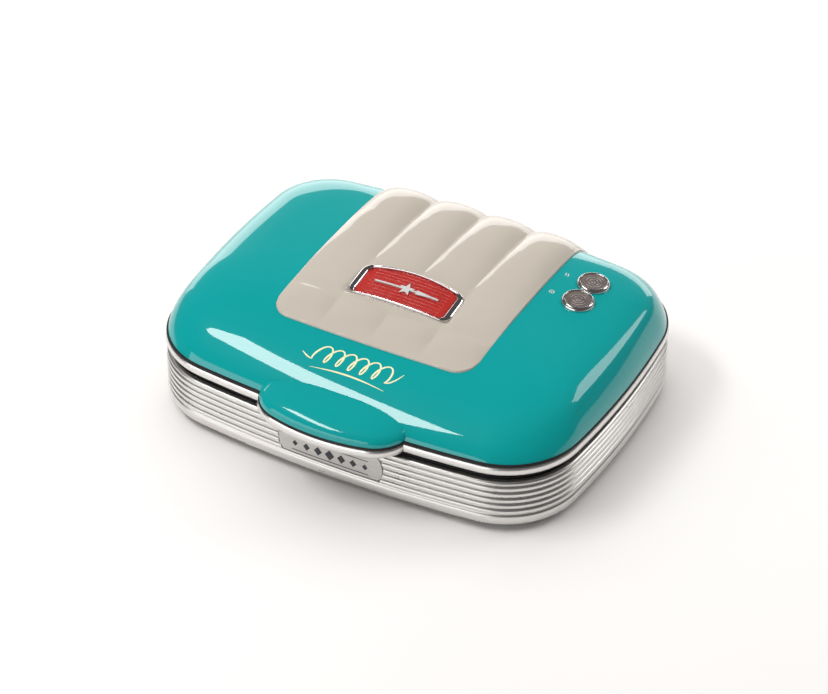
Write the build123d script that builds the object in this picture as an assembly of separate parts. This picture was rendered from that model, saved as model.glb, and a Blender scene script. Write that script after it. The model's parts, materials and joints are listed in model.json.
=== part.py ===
"""Compact two-waffle maker: ribbed base, domed lid with a lip handle, and cooking plates between them.

Millimetres, +Z up, front towards -Y. The parts are drawn in the body's own frame, whose origin is the
middle of the body's plan at the base's bottom edge. They are written out raised by the feet and moved back
so that the origin is the middle of the footprint. The lid is drawn closed flat, then turned a little about
the hinge, as it rests.
"""

import math
import os

from build123d import *

# ---------------------------------------------------------------- driving dimensions
BODY_HALF_WIDTH = 125.0
BODY_HALF_DEPTH = 96.3
BODY_CORNER = 44.5
FRONT_BOW = 11.0          # how far the front and back bow out at the middle
SIDE_BOW = 9.5            # how far the sides bow out at the middle

BASE_TOP = 29.7
RIB_BOTTOM = 8.1          # centre of the lowest groove
RIB_PITCH = 3.78
RIB_COUNT = 5
GROOVE_DEPTH = 1.0
GROOVE_HALF = 0.35
WALL_INNER = -3.6         # inner face of the base wall, measured outward from the outline
LIP_REACH = -10.8         # how far the lip that carries the bottom cover reaches in
LIP_TOP = 4.6
BOSS_RADIUS = 3.4
FOOT_STAND = 3.5

HINGE_Y = 100.7
HINGE_Z = 32.4
HINGE_X = 55.0
KNUCKLE_RADIUS = 3.5
EAR_RADIUS = 3.8
KNUCKLE_HALF = 5.7
EAR_WIDTH = 5.0
BRACKET_BACK = 98.0       # back face of the plate that carries the two fixed ears of a hinge
HINGE_GAP = 0.3
PIN_RADIUS = 1.6
PIN_HEAD_RADIUS = 2.7
LID_REST_TILT = 0.567     # degrees, how far the lid stands open at rest

TRIM_BOTTOM = 32.6
TRIM_TOP = 37.5
TRIM_THICK = 3.2
LID_SKIN = 2.4

# Lid levels: height, half width, front y, back y, corner radius
LID_LEVELS = [
    (37.5, 124.3, -95.2, 95.2, 43.8),
    (43.0, 123.0, -91.4, 92.6, 42.5),
    (50.5, 119.5, -81.8, 87.5, 37.0),
    (56.5, 115.0, -69.5, 81.4, 32.5),
    (60.2, 108.0, -59.0, 76.4, 31.0),
    (63.0, 95.0, -46.0, 68.0, 31.0),
    (65.6, 62.0, -24.0, 47.0, 27.0),
]
LEVEL_STEPS = 2           # levels lofted for each one listed

HANDLE_FRONT_RADIUS = 108.0
HANDLE_FRONT_Y = -112.8
HANDLE_CORNER = 22.3
HANDLE_CORNER_X = 22.6
HANDLE_ROOT_Y = -78.0
HANDLE_RING_BACK = -82.0   # where the trim round the handle ends, inside the body's own trim
# Handle levels: height, inset from the handle's outline
HANDLE_LEVELS = [(37.5, 1.0), (40.0, 1.3), (42.6, 2.8), (44.6, 5.6), (45.9, 9.6), (46.6, 14.5)]

PLATE_WIDTH = 216.0
PLATE_DEPTH = 140.0
PLATE_CORNER = 30.0
PLATE_FLANGE = 2.5
WELL_WIDTH = 92.0
WELL_DEPTH = 122.0
WELL_CORNER = 14.0
WELL_X = 51.0
WELL_DEEP = 8.0
WELL_SKIN = 2.5
TOOTH_BASE = 12.0
TOOTH_HEIGHT = 4.6
TOOTH_TAPER = 24.0
TEETH_X = 4
TEETH_Y = 5
LOWER_PLATE_TOP = 31.2
UPPER_PLATE_BOTTOM = 31.6
PLATE_SCREW_X = 106.2     # at the flange's edge, in a notch
PLATE_SCREW_Y = 40.0
PLATE_SHANK_NOTCH = 1.55  # half width of the notch for a plate screw's shank, and for its head
PLATE_HEAD_NOTCH = 2.3
PLATE_HEAD_RADIUS = 2.1

LOWER_SURROUND_TOP = 30.7
UPPER_SURROUND_BOTTOM = 31.9
SURROUND_THICK = 4.0
LEDGE_THICK = 2.0
LEDGE_WIDTH = 204.0
LEDGE_DEPTH = 132.0
LEDGE_CORNER = 22.0
POST_X = 97.5
POST_Y = 69.5
POST_RADIUS = 3.7
SCREW_RADIUS = 1.3
THREAD_RADIUS = 1.5       # hole that a screw is driven into

HEATER_RADIUS = 3.25
HEATER_HALF_X = 88.0
HEATER_HALF_Y = 45.0
HEATER_TAIL_X = 12.0
HEATER_TAIL_Y = 66.0
HEATER_BEND = 9.0
TAIL_NOTCH_HALF = 17.0     # half width of the gap in a reflector's rim that the heater's tails pass through

PANEL_HALF_WIDTH = 59.8
PANEL_FRONT = -54.5
PANEL_FRONT_BOW = 1.5
PANEL_BACK = 83.0
PANEL_CORNER = 11.0
PANEL_STAND = 1.1
FLUTES = 4

BADGE_Y = -12.8
BADGE_Z = 68.4
BADGE_TILT = 8.0
BADGE_BARREL = 241.0      # radius of the badge's crowned face

LIGHT_X = 81.8
LIGHT_YS = {"power_light": 27.0, "ready_light": 45.4}
LIGHT_RADIUS = 9.1
LIGHT_STAND = 2.2

GLAND_Z = 15.5
GLAND_BORE = 3.75


# ---------------------------------------------------------------- the body's outline
def unit(x, y):
    """The unit vector along (x, y)."""
    length = math.hypot(x, y)
    return x / length, y / length


def outline_arcs(half_width, half_depth, corner, inset=0.0):
    """Centres, radii and tangent points of the outline's front arc, right arc and front-right corner."""
    bow = FRONT_BOW * (half_width / BODY_HALF_WIDTH) ** 2
    side_bow = SIDE_BOW * (half_depth / BODY_HALF_DEPTH) ** 2
    front_r = (half_width**2 + bow**2) / (2 * bow)
    side_r = (half_depth**2 + side_bow**2) / (2 * side_bow)
    front_c = (0.0, front_r - half_depth)
    side_c = (half_width - side_r, 0.0)
    reach_front = front_r - corner
    reach_side = side_r - corner
    gap = math.hypot(side_c[0] - front_c[0], side_c[1] - front_c[1])
    along = (reach_front**2 - reach_side**2 + gap**2) / (2 * gap)
    across = math.sqrt(reach_front**2 - along**2)
    ux, uy = unit(side_c[0] - front_c[0], side_c[1] - front_c[1])
    choices = [
        (front_c[0] + ux * along - side * uy * across, front_c[1] + uy * along + side * ux * across)
        for side in (1, -1)
    ]
    centre = max(choices, key=lambda p: p[0] - p[1])
    fx, fy = unit(centre[0] - front_c[0], centre[1] - front_c[1])
    sx, sy = unit(centre[0] - side_c[0], centre[1] - side_c[1])
    return {
        "front_c": front_c,
        "front_r": front_r - inset,
        "side_c": side_c,
        "side_r": side_r - inset,
        "corner_c": centre,
        "corner_r": corner - inset,
        "front_dir": (fx, fy),
        "side_dir": (sx, sy),
    }


def outline(half_width, half_depth, corner, inset=0.0, shift=0.0):
    """Closed wire of eight tangent arcs at z = 0: bowed sides joined by round corners."""
    g = outline_arcs(half_width, half_depth, corner, inset)
    cx, cy = g["corner_c"]
    r = g["corner_r"]
    t1 = (cx + g["front_dir"][0] * r, cy + g["front_dir"][1] * r)
    t2 = (cx + g["side_dir"][0] * r, cy + g["side_dir"][1] * r)
    mx, my = unit(g["front_dir"][0] + g["side_dir"][0], g["front_dir"][1] + g["side_dir"][1])
    mid = (cx + mx * r, cy + my * r)
    front = (0.0, g["front_c"][1] - g["front_r"])
    side = (g["side_c"][0] + g["side_r"], 0.0)

    def at(point, flip_x, flip_y):
        return (point[0] * flip_x, point[1] * flip_y + shift, 0.0)

    runs = [
        (at(t1, -1, 1), at(front, 1, 1), at(t1, 1, 1)),
        (at(t1, 1, 1), at(mid, 1, 1), at(t2, 1, 1)),
        (at(t2, 1, 1), at(side, 1, 1), at(t2, 1, -1)),
        (at(t2, 1, -1), at(mid, 1, -1), at(t1, 1, -1)),
        (at(t1, 1, -1), at(front, 1, -1), at(t1, -1, -1)),
        (at(t1, -1, -1), at(mid, -1, -1), at(t2, -1, -1)),
        (at(t2, -1, -1), at(side, -1, 1), at(t2, -1, 1)),
        (at(t2, -1, 1), at(mid, -1, 1), at(t1, -1, 1)),
    ]
    return Wire([ThreePointArc(*run).edge() for run in runs])


def body_prism(inset, low, high):
    """The body's outline, inset, as a solid from low to high."""
    face = Face(outline(BODY_HALF_WIDTH, BODY_HALF_DEPTH, BODY_CORNER, inset))
    return Pos(0, 0, low) * extrude(face, amount=high - low, dir=(0, 0, 1))


def turned(profile, centre, start, sweep, radius):
    """A profile face, drawn in XZ outward from the radius, revolved about a vertical axis at centre."""
    face = profile(radius)
    ring = revolve(face, axis=Axis.Z, revolution_arc=sweep)
    return Pos(centre[0], centre[1], 0) * Rot(Z=start) * ring


def body_ring(profile):
    """A profile carried all the way round the body's outline, exactly, arc by arc."""
    g = outline_arcs(BODY_HALF_WIDTH, BODY_HALF_DEPTH, BODY_CORNER)
    front_angle = math.degrees(math.atan2(g["front_dir"][1], g["front_dir"][0]))
    side_angle = math.degrees(math.atan2(g["side_dir"][1], g["side_dir"][0]))
    (fx, fy), (sx, sy), (cx, cy) = g["front_c"], g["side_c"], g["corner_c"]
    front_sweep = 2 * (front_angle + 90)
    side_sweep = -2 * side_angle
    corner_sweep = side_angle - front_angle
    pieces = [
        turned(profile, (fx, fy), -90 - front_sweep / 2, front_sweep, g["front_r"]),
        turned(profile, (cx, cy), front_angle, corner_sweep, g["corner_r"]),
        turned(profile, (sx, sy), side_angle, side_sweep, g["side_r"]),
        turned(profile, (cx, -cy), -side_angle, corner_sweep, g["corner_r"]),
        turned(profile, (fx, -fy), 90 - front_sweep / 2, front_sweep, g["front_r"]),
        turned(profile, (-cx, -cy), 180 + front_angle, corner_sweep, g["corner_r"]),
        turned(profile, (-sx, sy), 180 + side_angle, side_sweep, g["side_r"]),
        turned(profile, (-cx, cy), 180 - side_angle, corner_sweep, g["corner_r"]),
    ]
    return pieces[0].fuse(*pieces[1:]).clean()


def tube(centre_x, centre_y, radius, low, high):
    """An upright cylinder."""
    return Pos(centre_x, centre_y, (low + high) / 2) * Cylinder(radius, high - low)


def slab(width, depth, corner, low, high):
    """A flat block with rounded corners."""
    return Pos(0, 0, low) * extrude(RectangleRounded(width, depth, corner), amount=high - low)


def block(x0, x1, y0, y1, z0, z1):
    """A plain box between two corners."""
    return Pos((x0 + x1) / 2, (y0 + y1) / 2, (z0 + z1) / 2) * Box(x1 - x0, y1 - y0, z1 - z0)


def one(shapes):
    """Fuses a list of shapes that touch into one."""
    return shapes[0].fuse(*shapes[1:]).clean()


# ---------------------------------------------------------------- base shell
def base_profile(radius):
    """Section of the base wall: rounded foot edge, smooth band, five beads, rounded rim, lip inside."""
    def p(out, z):
        return (radius + out, 0, z)

    edges = [
        Line(p(WALL_INNER, LIP_TOP), p(WALL_INNER, BASE_TOP)),
        Line(p(WALL_INNER, BASE_TOP), p(-2.4, BASE_TOP)),
    ]
    top_groove = RIB_BOTTOM + RIB_COUNT * RIB_PITCH
    edges.append(ThreePointArc(p(-2.4, BASE_TOP), p(-0.75, BASE_TOP - 0.75), p(-0.35, top_groove + 0.9)))
    edges.append(Line(p(-0.35, top_groove + 0.9), p(-GROOVE_DEPTH, top_groove + GROOVE_HALF)))
    for i in range(RIB_COUNT, -1, -1):
        groove = RIB_BOTTOM + i * RIB_PITCH
        edges.append(Line(p(-GROOVE_DEPTH, groove + GROOVE_HALF), p(-GROOVE_DEPTH, groove - GROOVE_HALF)))
        if i > 0:
            below = groove - RIB_PITCH + GROOVE_HALF
            middle = groove - RIB_PITCH / 2
            edges.append(
                ThreePointArc(p(-GROOVE_DEPTH, groove - GROOVE_HALF), p(0, middle), p(-GROOVE_DEPTH, below))
            )
    low = RIB_BOTTOM - GROOVE_HALF
    edges += [
        Line(p(-GROOVE_DEPTH, low), p(-0.1, low - 0.8)),
        Line(p(-0.1, low - 0.8), p(-0.1, 4.6)),
        ThreePointArc(p(-0.1, 4.6), p(-1.2, 1.35), p(-3.6, 0)),
        Line(p(-3.6, 0), p(-5.9, 0)),
        Line(p(-5.9, 0), p(-5.9, 2.2)),
        Line(p(-5.9, 2.2), p(LIP_REACH, 2.2)),
        Line(p(LIP_REACH, 2.2), p(LIP_REACH, LIP_TOP)),
        Line(p(LIP_REACH, LIP_TOP), p(WALL_INNER, LIP_TOP)),
    ]
    return Face(Wire([e.edge() for e in edges]))


COVER_SCREWS = [(115.6, 0.0), (-115.6, 0.0), (60.0, 84.9), (-60.0, 84.9), (60.0, -84.9), (-60.0, -84.9)]
PLATE_HALF = 31.0         # half width of the name plate
PLATE_LOW = 10.0
PLATE_HIGH = 25.0


def name_plate_prism(grow):
    """The name plate's outline, with round bulging ends, as a block that cuts through the front wall."""
    half = PLATE_HALF + grow
    low = PLATE_LOW - grow
    high = PLATE_HIGH + grow
    waist = half - 2.6
    middle = (low + high) / 2
    wire = Wire([
        Line((-waist, low), (waist, low)).edge(),
        ThreePointArc((waist, low), (half, middle), (waist, high)).edge(),
        Line((waist, high), (-waist, high)).edge(),
        ThreePointArc((-waist, high), (-half, middle), (-waist, low)).edge(),
    ])
    face = Plane.XZ.offset(BODY_HALF_DEPTH - 12) * Face(wire)
    return extrude(face, amount=30, dir=(0, -1, 0))


def hinge_ear(x0, x1):
    """One fixed ear of the hinge, standing behind the base wall."""
    disc = Pos((x0 + x1) / 2, HINGE_Y, HINGE_Z) * Rot(Y=90) * Cylinder(EAR_RADIUS, x1 - x0)
    web = Plane.YZ.offset(x0) * Polygon(
        (92.0, 13.0), (96.5, 15.0), (HINGE_Y + EAR_RADIUS, 28.0), (HINGE_Y + EAR_RADIUS, HINGE_Z),
        (HINGE_Y - EAR_RADIUS, HINGE_Z), (HINGE_Y - EAR_RADIUS, 29.2), (92.0, 27.5), align=None,
    )
    return disc + extrude(web, amount=x1 - x0, dir=(1, 0, 0))


def hinge_bore(radius):
    """A long cutter on the hinge axis."""
    return Pos(0, HINGE_Y, HINGE_Z) * Rot(Y=90) * Cylinder(radius, 200)


def hinge_bracket(side):
    """Fixed half of one hinge: two ears on a back plate that lies against the wall."""
    inner = HINGE_X - KNUCKLE_HALF - HINGE_GAP
    outer = HINGE_X + KNUCKLE_HALF + HINGE_GAP
    bracket = block(inner - EAR_WIDTH, outer + EAR_WIDTH, 90.0, BRACKET_BACK, 12.0, 27.0)
    bracket += hinge_ear(inner - EAR_WIDTH, inner)
    bracket += hinge_ear(outer, outer + EAR_WIDTH)
    bracket -= body_prism(-0.02, 0, 40)
    bracket -= hinge_bore(PIN_RADIUS + 0.02)
    return bracket if side > 0 else mirror(bracket, about=Plane.YZ)


def make_base_housing():
    wall = body_ring(base_profile)
    for x, y in COVER_SCREWS:
        wall -= tube(x, y, THREAD_RADIUS, 1.0, 6.0)
    wall -= name_plate_prism(0.2) & (body_prism(-2, 6, 28) - body_prism(1.9, 5, 29))
    wall -= Pos(0, BODY_HALF_DEPTH, GLAND_Z) * Rot(X=90) * Cylinder(5.6, 20)
    return wall


def screw_boss(x, y):
    """Blind boss that stands on the wall's lip and takes one of the bottom cover's screws."""
    return tube(x, y, BOSS_RADIUS, LIP_TOP + 0.02, 13.0) - tube(x, y, THREAD_RADIUS, 1.0, 11.0)


def make_name_plate():
    shell = body_prism(0.15, 6, 28) - body_prism(1.75, 5, 29)
    return name_plate_prism(0.0) & shell


def make_cord_gland():
    """Rubber grommet in the back wall, with a straight bore for the cord."""
    def ring(radius, y0, y1):
        return Pos(0, (y0 + y1) / 2, GLAND_Z) * Rot(X=90) * Cylinder(radius, y1 - y0)

    body = ring(5.5, 90.5, 99.4) + ring(7.6, 96.5, 98.6) + ring(7.2, 90.5, 92.5)
    return body - ring(GLAND_BORE, 85, 105)


# ---------------------------------------------------------------- bottom cover, feet, screws
FOOT_POINTS = [(x * 84.0, y * 60.0) for x in (-1, 1) for y in (-1, 1)]
POST_POINTS = [(x * POST_X, y * POST_Y) for x in (-1, 1) for y in (-1, 1)]
REFLECTOR_POINTS = [(x * 50.0, y * 30.0) for x in (-1, 1) for y in (-1, 1)]
LOWER_LEDGE_BOTTOM = LOWER_SURROUND_TOP - SURROUND_THICK


def make_bottom_cover():
    cover = body_prism(6.2, 0, 2.15)
    for x, y in POST_POINTS:
        cover += tube(x, y, POST_RADIUS, 1.0, LOWER_LEDGE_BOTTOM)
        cover -= tube(x, y, THREAD_RADIUS, 14.0, 30.0)
    for x, y in REFLECTOR_POINTS:
        cover += tube(x, y, 3.5, 1.0, 6.9)
        cover -= tube(x, y, THREAD_RADIUS, 3.0, 8.0)
    for x, y in COVER_SCREWS:
        cover -= tube(x, y, 1.7, -1, 3)
    for x, y in FOOT_POINTS:
        cover -= tube(x, y, 3.2, -1, 3)
    for side in (-1, 1):
        for i in range(9):
            slot = extrude(SlotOverall(18, 3, rotation=90), amount=6, both=True)
            cover -= Pos(-40 + i * 10, side * 14, 0) * slot
    return cover


def make_foot(x, y):
    """Rubber foot with a stem that snaps through the cover."""
    pad = Pos(x, y, -FOOT_STAND) * extrude(Circle(8.0), amount=FOOT_STAND)
    pad = chamfer(pad.edges().group_by(Axis.Z)[0], 0.6)
    stem = tube(x, y, 3.0, -0.5, 2.4)
    barb = Pos(x, y, 3.25) * Cone(3.8, 2.2, 1.7)
    return pad + stem + barb


def screw(x, y, head_z, head_r, head_h, shank_r, shank_z):
    """Round-headed screw. head_z is the head's outer face; the shank runs from the head to shank_z."""
    up = 1 if shank_z > head_z else -1
    inner = head_z + up * head_h
    head = tube(x, y, head_r, *sorted((head_z, inner)))
    slot = Pos(x, y, head_z) * Box(head_r * 1.3, 0.7, 0.9)
    cross = Pos(x, y, head_z) * Box(0.7, head_r * 1.3, 0.9)
    shank = tube(x, y, shank_r, *sorted((inner - up * 0.1, shank_z)))
    return head + shank - slot - cross


# ---------------------------------------------------------------- plates and what holds them
def make_surround(low, recess_below):
    """Black ring between casing and plate, with the recess for the plate's flange below or above."""
    high = low + SURROUND_THICK
    ring = body_prism(4.3, low, high)
    if recess_below:
        ring -= slab(PLATE_WIDTH + 1, PLATE_DEPTH + 1, PLATE_CORNER + 0.5, low - 1, high - LEDGE_THICK + 0.2)
    else:
        ring -= slab(PLATE_WIDTH + 1, PLATE_DEPTH + 1, PLATE_CORNER + 0.5, low + LEDGE_THICK, high + 1)
    return ring - slab(LEDGE_WIDTH, LEDGE_DEPTH, LEDGE_CORNER, low - 1, high + 1)


def make_plate():
    """A cooking plate in its own frame: flange face at z = 0, wells going down."""
    plate = slab(PLATE_WIDTH, PLATE_DEPTH, PLATE_CORNER, -PLATE_FLANGE, 0)
    for side in (-1, 1):
        well = slab(WELL_WIDTH + 2 * WELL_SKIN, WELL_DEPTH + 2 * WELL_SKIN, WELL_CORNER + WELL_SKIN,
                    -WELL_DEEP - WELL_SKIN, -PLATE_FLANGE / 2)
        plate += Pos(side * WELL_X, 0, 0) * well
    for side in (-1, 1):
        plate -= Pos(side * WELL_X, 0, 0) * slab(WELL_WIDTH, WELL_DEPTH, WELL_CORNER, -WELL_DEEP, 1)
    teeth = []
    for side in (-1, 1):
        for i in range(TEETH_X):
            for j in range(TEETH_Y):
                x = side * WELL_X + (i - (TEETH_X - 1) / 2) * WELL_WIDTH / TEETH_X
                y = (j - (TEETH_Y - 1) / 2) * WELL_DEPTH / TEETH_Y
                foot = Rectangle(TOOTH_BASE, TOOTH_BASE)
                tooth = extrude(foot, amount=TOOTH_HEIGHT + 0.5, taper=TOOTH_TAPER)
                teeth.append(Pos(x, y, -WELL_DEEP - 0.5) * tooth)
    plate = plate.fuse(*teeth)
    for x in (-PLATE_SCREW_X, PLATE_SCREW_X):
        for y in (-PLATE_SCREW_Y, PLATE_SCREW_Y):
            edge = math.copysign(PLATE_WIDTH / 2 + 1, x)
            for reach, floor in ((PLATE_SHANK_NOTCH, -5), (PLATE_HEAD_NOTCH, -1.3)):
                inner = x - math.copysign(reach, x)
                plate -= block(*sorted((inner, edge)), y - reach, y + reach, floor, 1)
    return plate


def plate_screws(face_z, up):
    """Four flat screws that hold a plate's flange to the surround's ledge."""
    z = face_z - 0.02 if up < 0 else face_z + 0.02
    return [
        screw(x, y, z, PLATE_HEAD_RADIUS, 1.1, SCREW_RADIUS, face_z + up * 5.4)
        for x in (-PLATE_SCREW_X, PLATE_SCREW_X) for y in (-PLATE_SCREW_Y, PLATE_SCREW_Y)
    ]


def make_heater(z):
    """Bent tubular heater: a rectangle open at the back, with its two tails side by side."""
    half_path = [
        (HEATER_HALF_X, -HEATER_HALF_Y, z), (HEATER_HALF_X, HEATER_HALF_Y, z),
        (HEATER_TAIL_X, HEATER_HALF_Y, z), (HEATER_TAIL_X, HEATER_TAIL_Y, z),
    ]
    other_half = [(-x, y, z) for x, y, z in reversed(half_path)]
    path = FilletPolyline(*other_half, *half_path, radius=HEATER_BEND)
    start = Plane(origin=(-HEATER_TAIL_X, HEATER_TAIL_Y, z), z_dir=(0, -1, 0))
    rod = sweep(start * Circle(HEATER_RADIUS), path=path)
    for x in (-HEATER_TAIL_X, HEATER_TAIL_X):
        rod += Pos(x, HEATER_TAIL_Y + 2.5, z) * Rot(X=90) * Cylinder(1.2, 6)
    return rod


def heater_clamps(z, up):
    """Four straps that hold the heater against the plate; up is the side that the plate is on."""
    straps = []
    for x in (-WELL_X, WELL_X):
        for y in (-HEATER_HALF_Y, HEATER_HALF_Y):
            ring = Rot(Y=90) * (Cylinder(4.6, 8) - Cylinder(HEATER_RADIUS + 0.2, 9))
            legs = Box(8, 9.2, HEATER_RADIUS) - Box(9, 6.9, HEATER_RADIUS + 1)
            ring += Pos(0, 0, up * HEATER_RADIUS / 2) * legs
            ring -= Pos(0, 0, up * 4) * Box(9, 6.9, 8)
            for side in (-1, 1):
                ring += Pos(0, side * 6.4, up * (HEATER_RADIUS - 0.6)) * Box(8, 5.2, 1.2)
            ring -= Pos(0, 0, up * (HEATER_RADIUS + 2)) * Box(10, 30, 4)
            straps.append(Pos(x, y, z) * ring)
    return straps


def make_reflector(z, up):
    """Thin dish that throws the heat back at the plate. Its rim turns towards the plate."""
    outer = slab(196, 124, 18, 0, 7)
    inner = slab(195, 123, 17.5, 0.6, 8)
    notch = block(-TAIL_NOTCH_HALF, TAIL_NOTCH_HALF, 55, 65, 0.6, 8)
    dish = outer - inner - notch
    if up < 0:
        dish = mirror(dish, about=Plane.XY)
    return Pos(0, 0, z) * dish


# ---------------------------------------------------------------- lid
def smooth_value(values, place):
    """Monotone cubic through equally spaced values, read at a fractional place."""
    rises = [b - a for a, b in zip(values, values[1:])]
    slopes = [rises[0]]
    for before, after in zip(rises, rises[1:]):
        slopes.append(2 * before * after / (before + after) if before * after > 0 else 0.0)
    slopes.append(rises[-1])
    i = min(int(place), len(rises) - 1)
    t = place - i
    return (
        values[i] * (1 + 2 * t) * (1 - t) ** 2 + slopes[i] * t * (1 - t) ** 2
        + values[i + 1] * t * t * (3 - 2 * t) + slopes[i + 1] * t * t * (t - 1)
    )


def finer(levels, steps):
    """The same levels with smooth ones added between them."""
    columns = list(zip(*levels))
    count = (len(levels) - 1) * steps
    return [tuple(smooth_value(column, i / steps) for column in columns) for i in range(count + 1)]


FINE_LEVELS = finer(LID_LEVELS, LEVEL_STEPS)


def level_wire(level, inset=0.0, drop=0.0):
    """The lid's outline at one level."""
    z, half_width, front, back, corner = level
    wire = outline(half_width - inset, (back - front) / 2 - inset, corner - inset, 0, (back + front) / 2)
    return Pos(0, 0, z - drop) * wire


def lid_solid():
    """The lid's outer form, solid."""
    return Solid.make_loft([level_wire(level) for level in FINE_LEVELS], ruled=True)


def lid_core():
    """What is taken out of the lid's form to leave its skin."""
    last = len(LID_LEVELS) - 1
    wires = [level_wire(level, LID_SKIN, LID_SKIN * i / last) for i, level in enumerate(LID_LEVELS)]
    foot = Pos(0, 0, -2) * level_wire(LID_LEVELS[0], LID_SKIN)
    return Solid.make_loft([foot] + wires, ruled=True)


def level_gap(level, x, y):
    """How far (x, y) lies outside a lid level's outline; negative inside."""
    z, half_width, front, back, corner = level
    g = outline_arcs(half_width, (back - front) / 2, corner)
    px, py = abs(x), -abs(y - (back + front) / 2)
    dx, dy = px - g["corner_c"][0], py - g["corner_c"][1]
    angle = math.atan2(dy, dx)
    low = math.atan2(g["front_dir"][1], g["front_dir"][0])
    high = math.atan2(g["side_dir"][1], g["side_dir"][0])
    if low <= angle <= high:
        return math.hypot(dx, dy) - corner
    front_gap = math.hypot(px, py - g["front_c"][1]) - g["front_r"]
    side_gap = math.hypot(px - g["side_c"][0], py) - g["side_r"]
    return max(front_gap, side_gap)


def lid_height(x, y):
    """Height of the lid's outer face above (x, y), with the lid closed flat."""
    gaps = [level_gap(level, x, y) for level in FINE_LEVELS]
    for i in range(len(FINE_LEVELS) - 1):
        if gaps[i] <= 0 < gaps[i + 1]:
            share = gaps[i] / (gaps[i] - gaps[i + 1])
            return FINE_LEVELS[i][0] + share * (FINE_LEVELS[i + 1][0] - FINE_LEVELS[i][0])
    return FINE_LEVELS[0][0] if gaps[0] > 0 else FINE_LEVELS[-1][0]


def handle_wire(inset, z):
    """The handle's outline: a bowed front, round corners and straight sides running back under the lid."""
    centre_y = HANDLE_FRONT_Y + HANDLE_FRONT_RADIUS
    reach = HANDLE_FRONT_RADIUS - HANDLE_CORNER
    corner_y = centre_y - math.sqrt(reach**2 - HANDLE_CORNER_X**2)
    dx, dy = unit(HANDLE_CORNER_X, corner_y - centre_y)
    r = HANDLE_CORNER - inset
    tangent = (HANDLE_CORNER_X + dx * r, corner_y + dy * r)
    mx, my = unit(1 + dx, dy)
    middle = (HANDLE_CORNER_X + mx * r, corner_y + my * r)
    edge_x = HANDLE_CORNER_X + r

    def at(point, flip=1):
        return (point[0] * flip, point[1], z)

    return Wire([
        ThreePointArc(at(tangent, -1), (0, HANDLE_FRONT_Y + inset, z), at(tangent)).edge(),
        ThreePointArc(at(tangent), at(middle), (edge_x, corner_y, z)).edge(),
        Line((edge_x, corner_y, z), (edge_x, HANDLE_ROOT_Y, z)).edge(),
        Line((edge_x, HANDLE_ROOT_Y, z), (-edge_x, HANDLE_ROOT_Y, z)).edge(),
        Line((-edge_x, HANDLE_ROOT_Y, z), (-edge_x, corner_y, z)).edge(),
        ThreePointArc((-edge_x, corner_y, z), at(middle, -1), at(tangent, -1)).edge(),
    ])


def handle_prism(inset, low, high):
    """The handle's outline, inset, as a solid."""
    return extrude(Face(handle_wire(inset, low)), amount=high - low, dir=(0, 0, 1))


HANDLE_SCREWS = [(-20.0, -101.5), (20.0, -101.5)]


def make_lid_cover(form):
    """The lid's one moulding: dome and hollow handle, with bosses and the holes for lights and badge."""
    core = lid_core()
    last = len(HANDLE_LEVELS) - 1
    handle = Solid.make_loft([handle_wire(inset, z) for z, inset in HANDLE_LEVELS], ruled=True)
    hollow_wires = [handle_wire(inset + LID_SKIN, z - LID_SKIN * i / last)
                    for i, (z, inset) in enumerate(HANDLE_LEVELS)]
    hollow_foot = handle_wire(HANDLE_LEVELS[0][1] + LID_SKIN, TRIM_TOP - 2)
    hollow = Solid.make_loft([hollow_foot] + hollow_wires, ruled=True)
    cover = (form + handle) - core - hollow
    for x, y in POST_POINTS:
        boss = tube(x, y, POST_RADIUS, UPPER_SURROUND_BOTTOM + SURROUND_THICK, 60) & form
        cover += boss
        cover -= tube(x, y, THREAD_RADIUS, 30, 44)
    for x, y in HANDLE_SCREWS:
        cover += tube(x, y, 3.2, 35.7, 45.0) & (handle + handle_prism(HANDLE_LEVELS[0][1], 35, TRIM_TOP + 1))
        cover -= tube(x, y, THREAD_RADIUS, 30, 42)
    for y in LIGHT_YS.values():
        cover -= tube(LIGHT_X, y, 6.5, 40, 90)
    for x, y in PANEL_PEGS:
        cover -= tube(x, y, 1.7, 40, 90)
    return cover - BADGE_PLACE * badge_slice(grown(BADGE_OUTER, BADGE_OPENING_GAP), -14, 12)


def trim_profile(radius):
    """Section of the silver band: a shallow bulge outside, flat inside."""
    def p(out, z):
        return (radius + out, 0, z)

    middle = (TRIM_BOTTOM + TRIM_TOP) / 2
    return Face(Wire([
        Line(p(-TRIM_THICK, TRIM_BOTTOM), p(-TRIM_THICK, TRIM_TOP)).edge(),
        Line(p(-TRIM_THICK, TRIM_TOP), p(-0.8, TRIM_TOP)).edge(),
        ThreePointArc(p(-0.8, TRIM_TOP), p(0.1, middle), p(-0.8, TRIM_BOTTOM)).edge(),
        Line(p(-0.8, TRIM_BOTTOM), p(-TRIM_THICK, TRIM_BOTTOM)).edge(),
    ]))


def handle_ring(profile):
    """The trim's section carried round the handle's outline."""
    centre_y = HANDLE_FRONT_Y + HANDLE_FRONT_RADIUS
    reach = HANDLE_FRONT_RADIUS - HANDLE_CORNER
    corner_y = centre_y - math.sqrt(reach**2 - HANDLE_CORNER_X**2)
    angle = math.degrees(math.atan2(corner_y - centre_y, HANDLE_CORNER_X))
    half = angle + 90
    pieces = [
        turned(profile, (0, centre_y), -90 - half, 2 * half, HANDLE_FRONT_RADIUS),
        turned(profile, (HANDLE_CORNER_X, corner_y), angle, -angle, HANDLE_CORNER),
        turned(profile, (-HANDLE_CORNER_X, corner_y), 180, -angle, HANDLE_CORNER),
    ]
    section = profile(HANDLE_CORNER)
    straight = extrude(section, amount=HANDLE_RING_BACK - corner_y, dir=(0, 1, 0))
    straight = Pos(HANDLE_CORNER_X, corner_y, 0) * straight
    pieces += [straight, mirror(straight, about=Plane.YZ)]
    return pieces[0].fuse(*pieces[1:])


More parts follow.
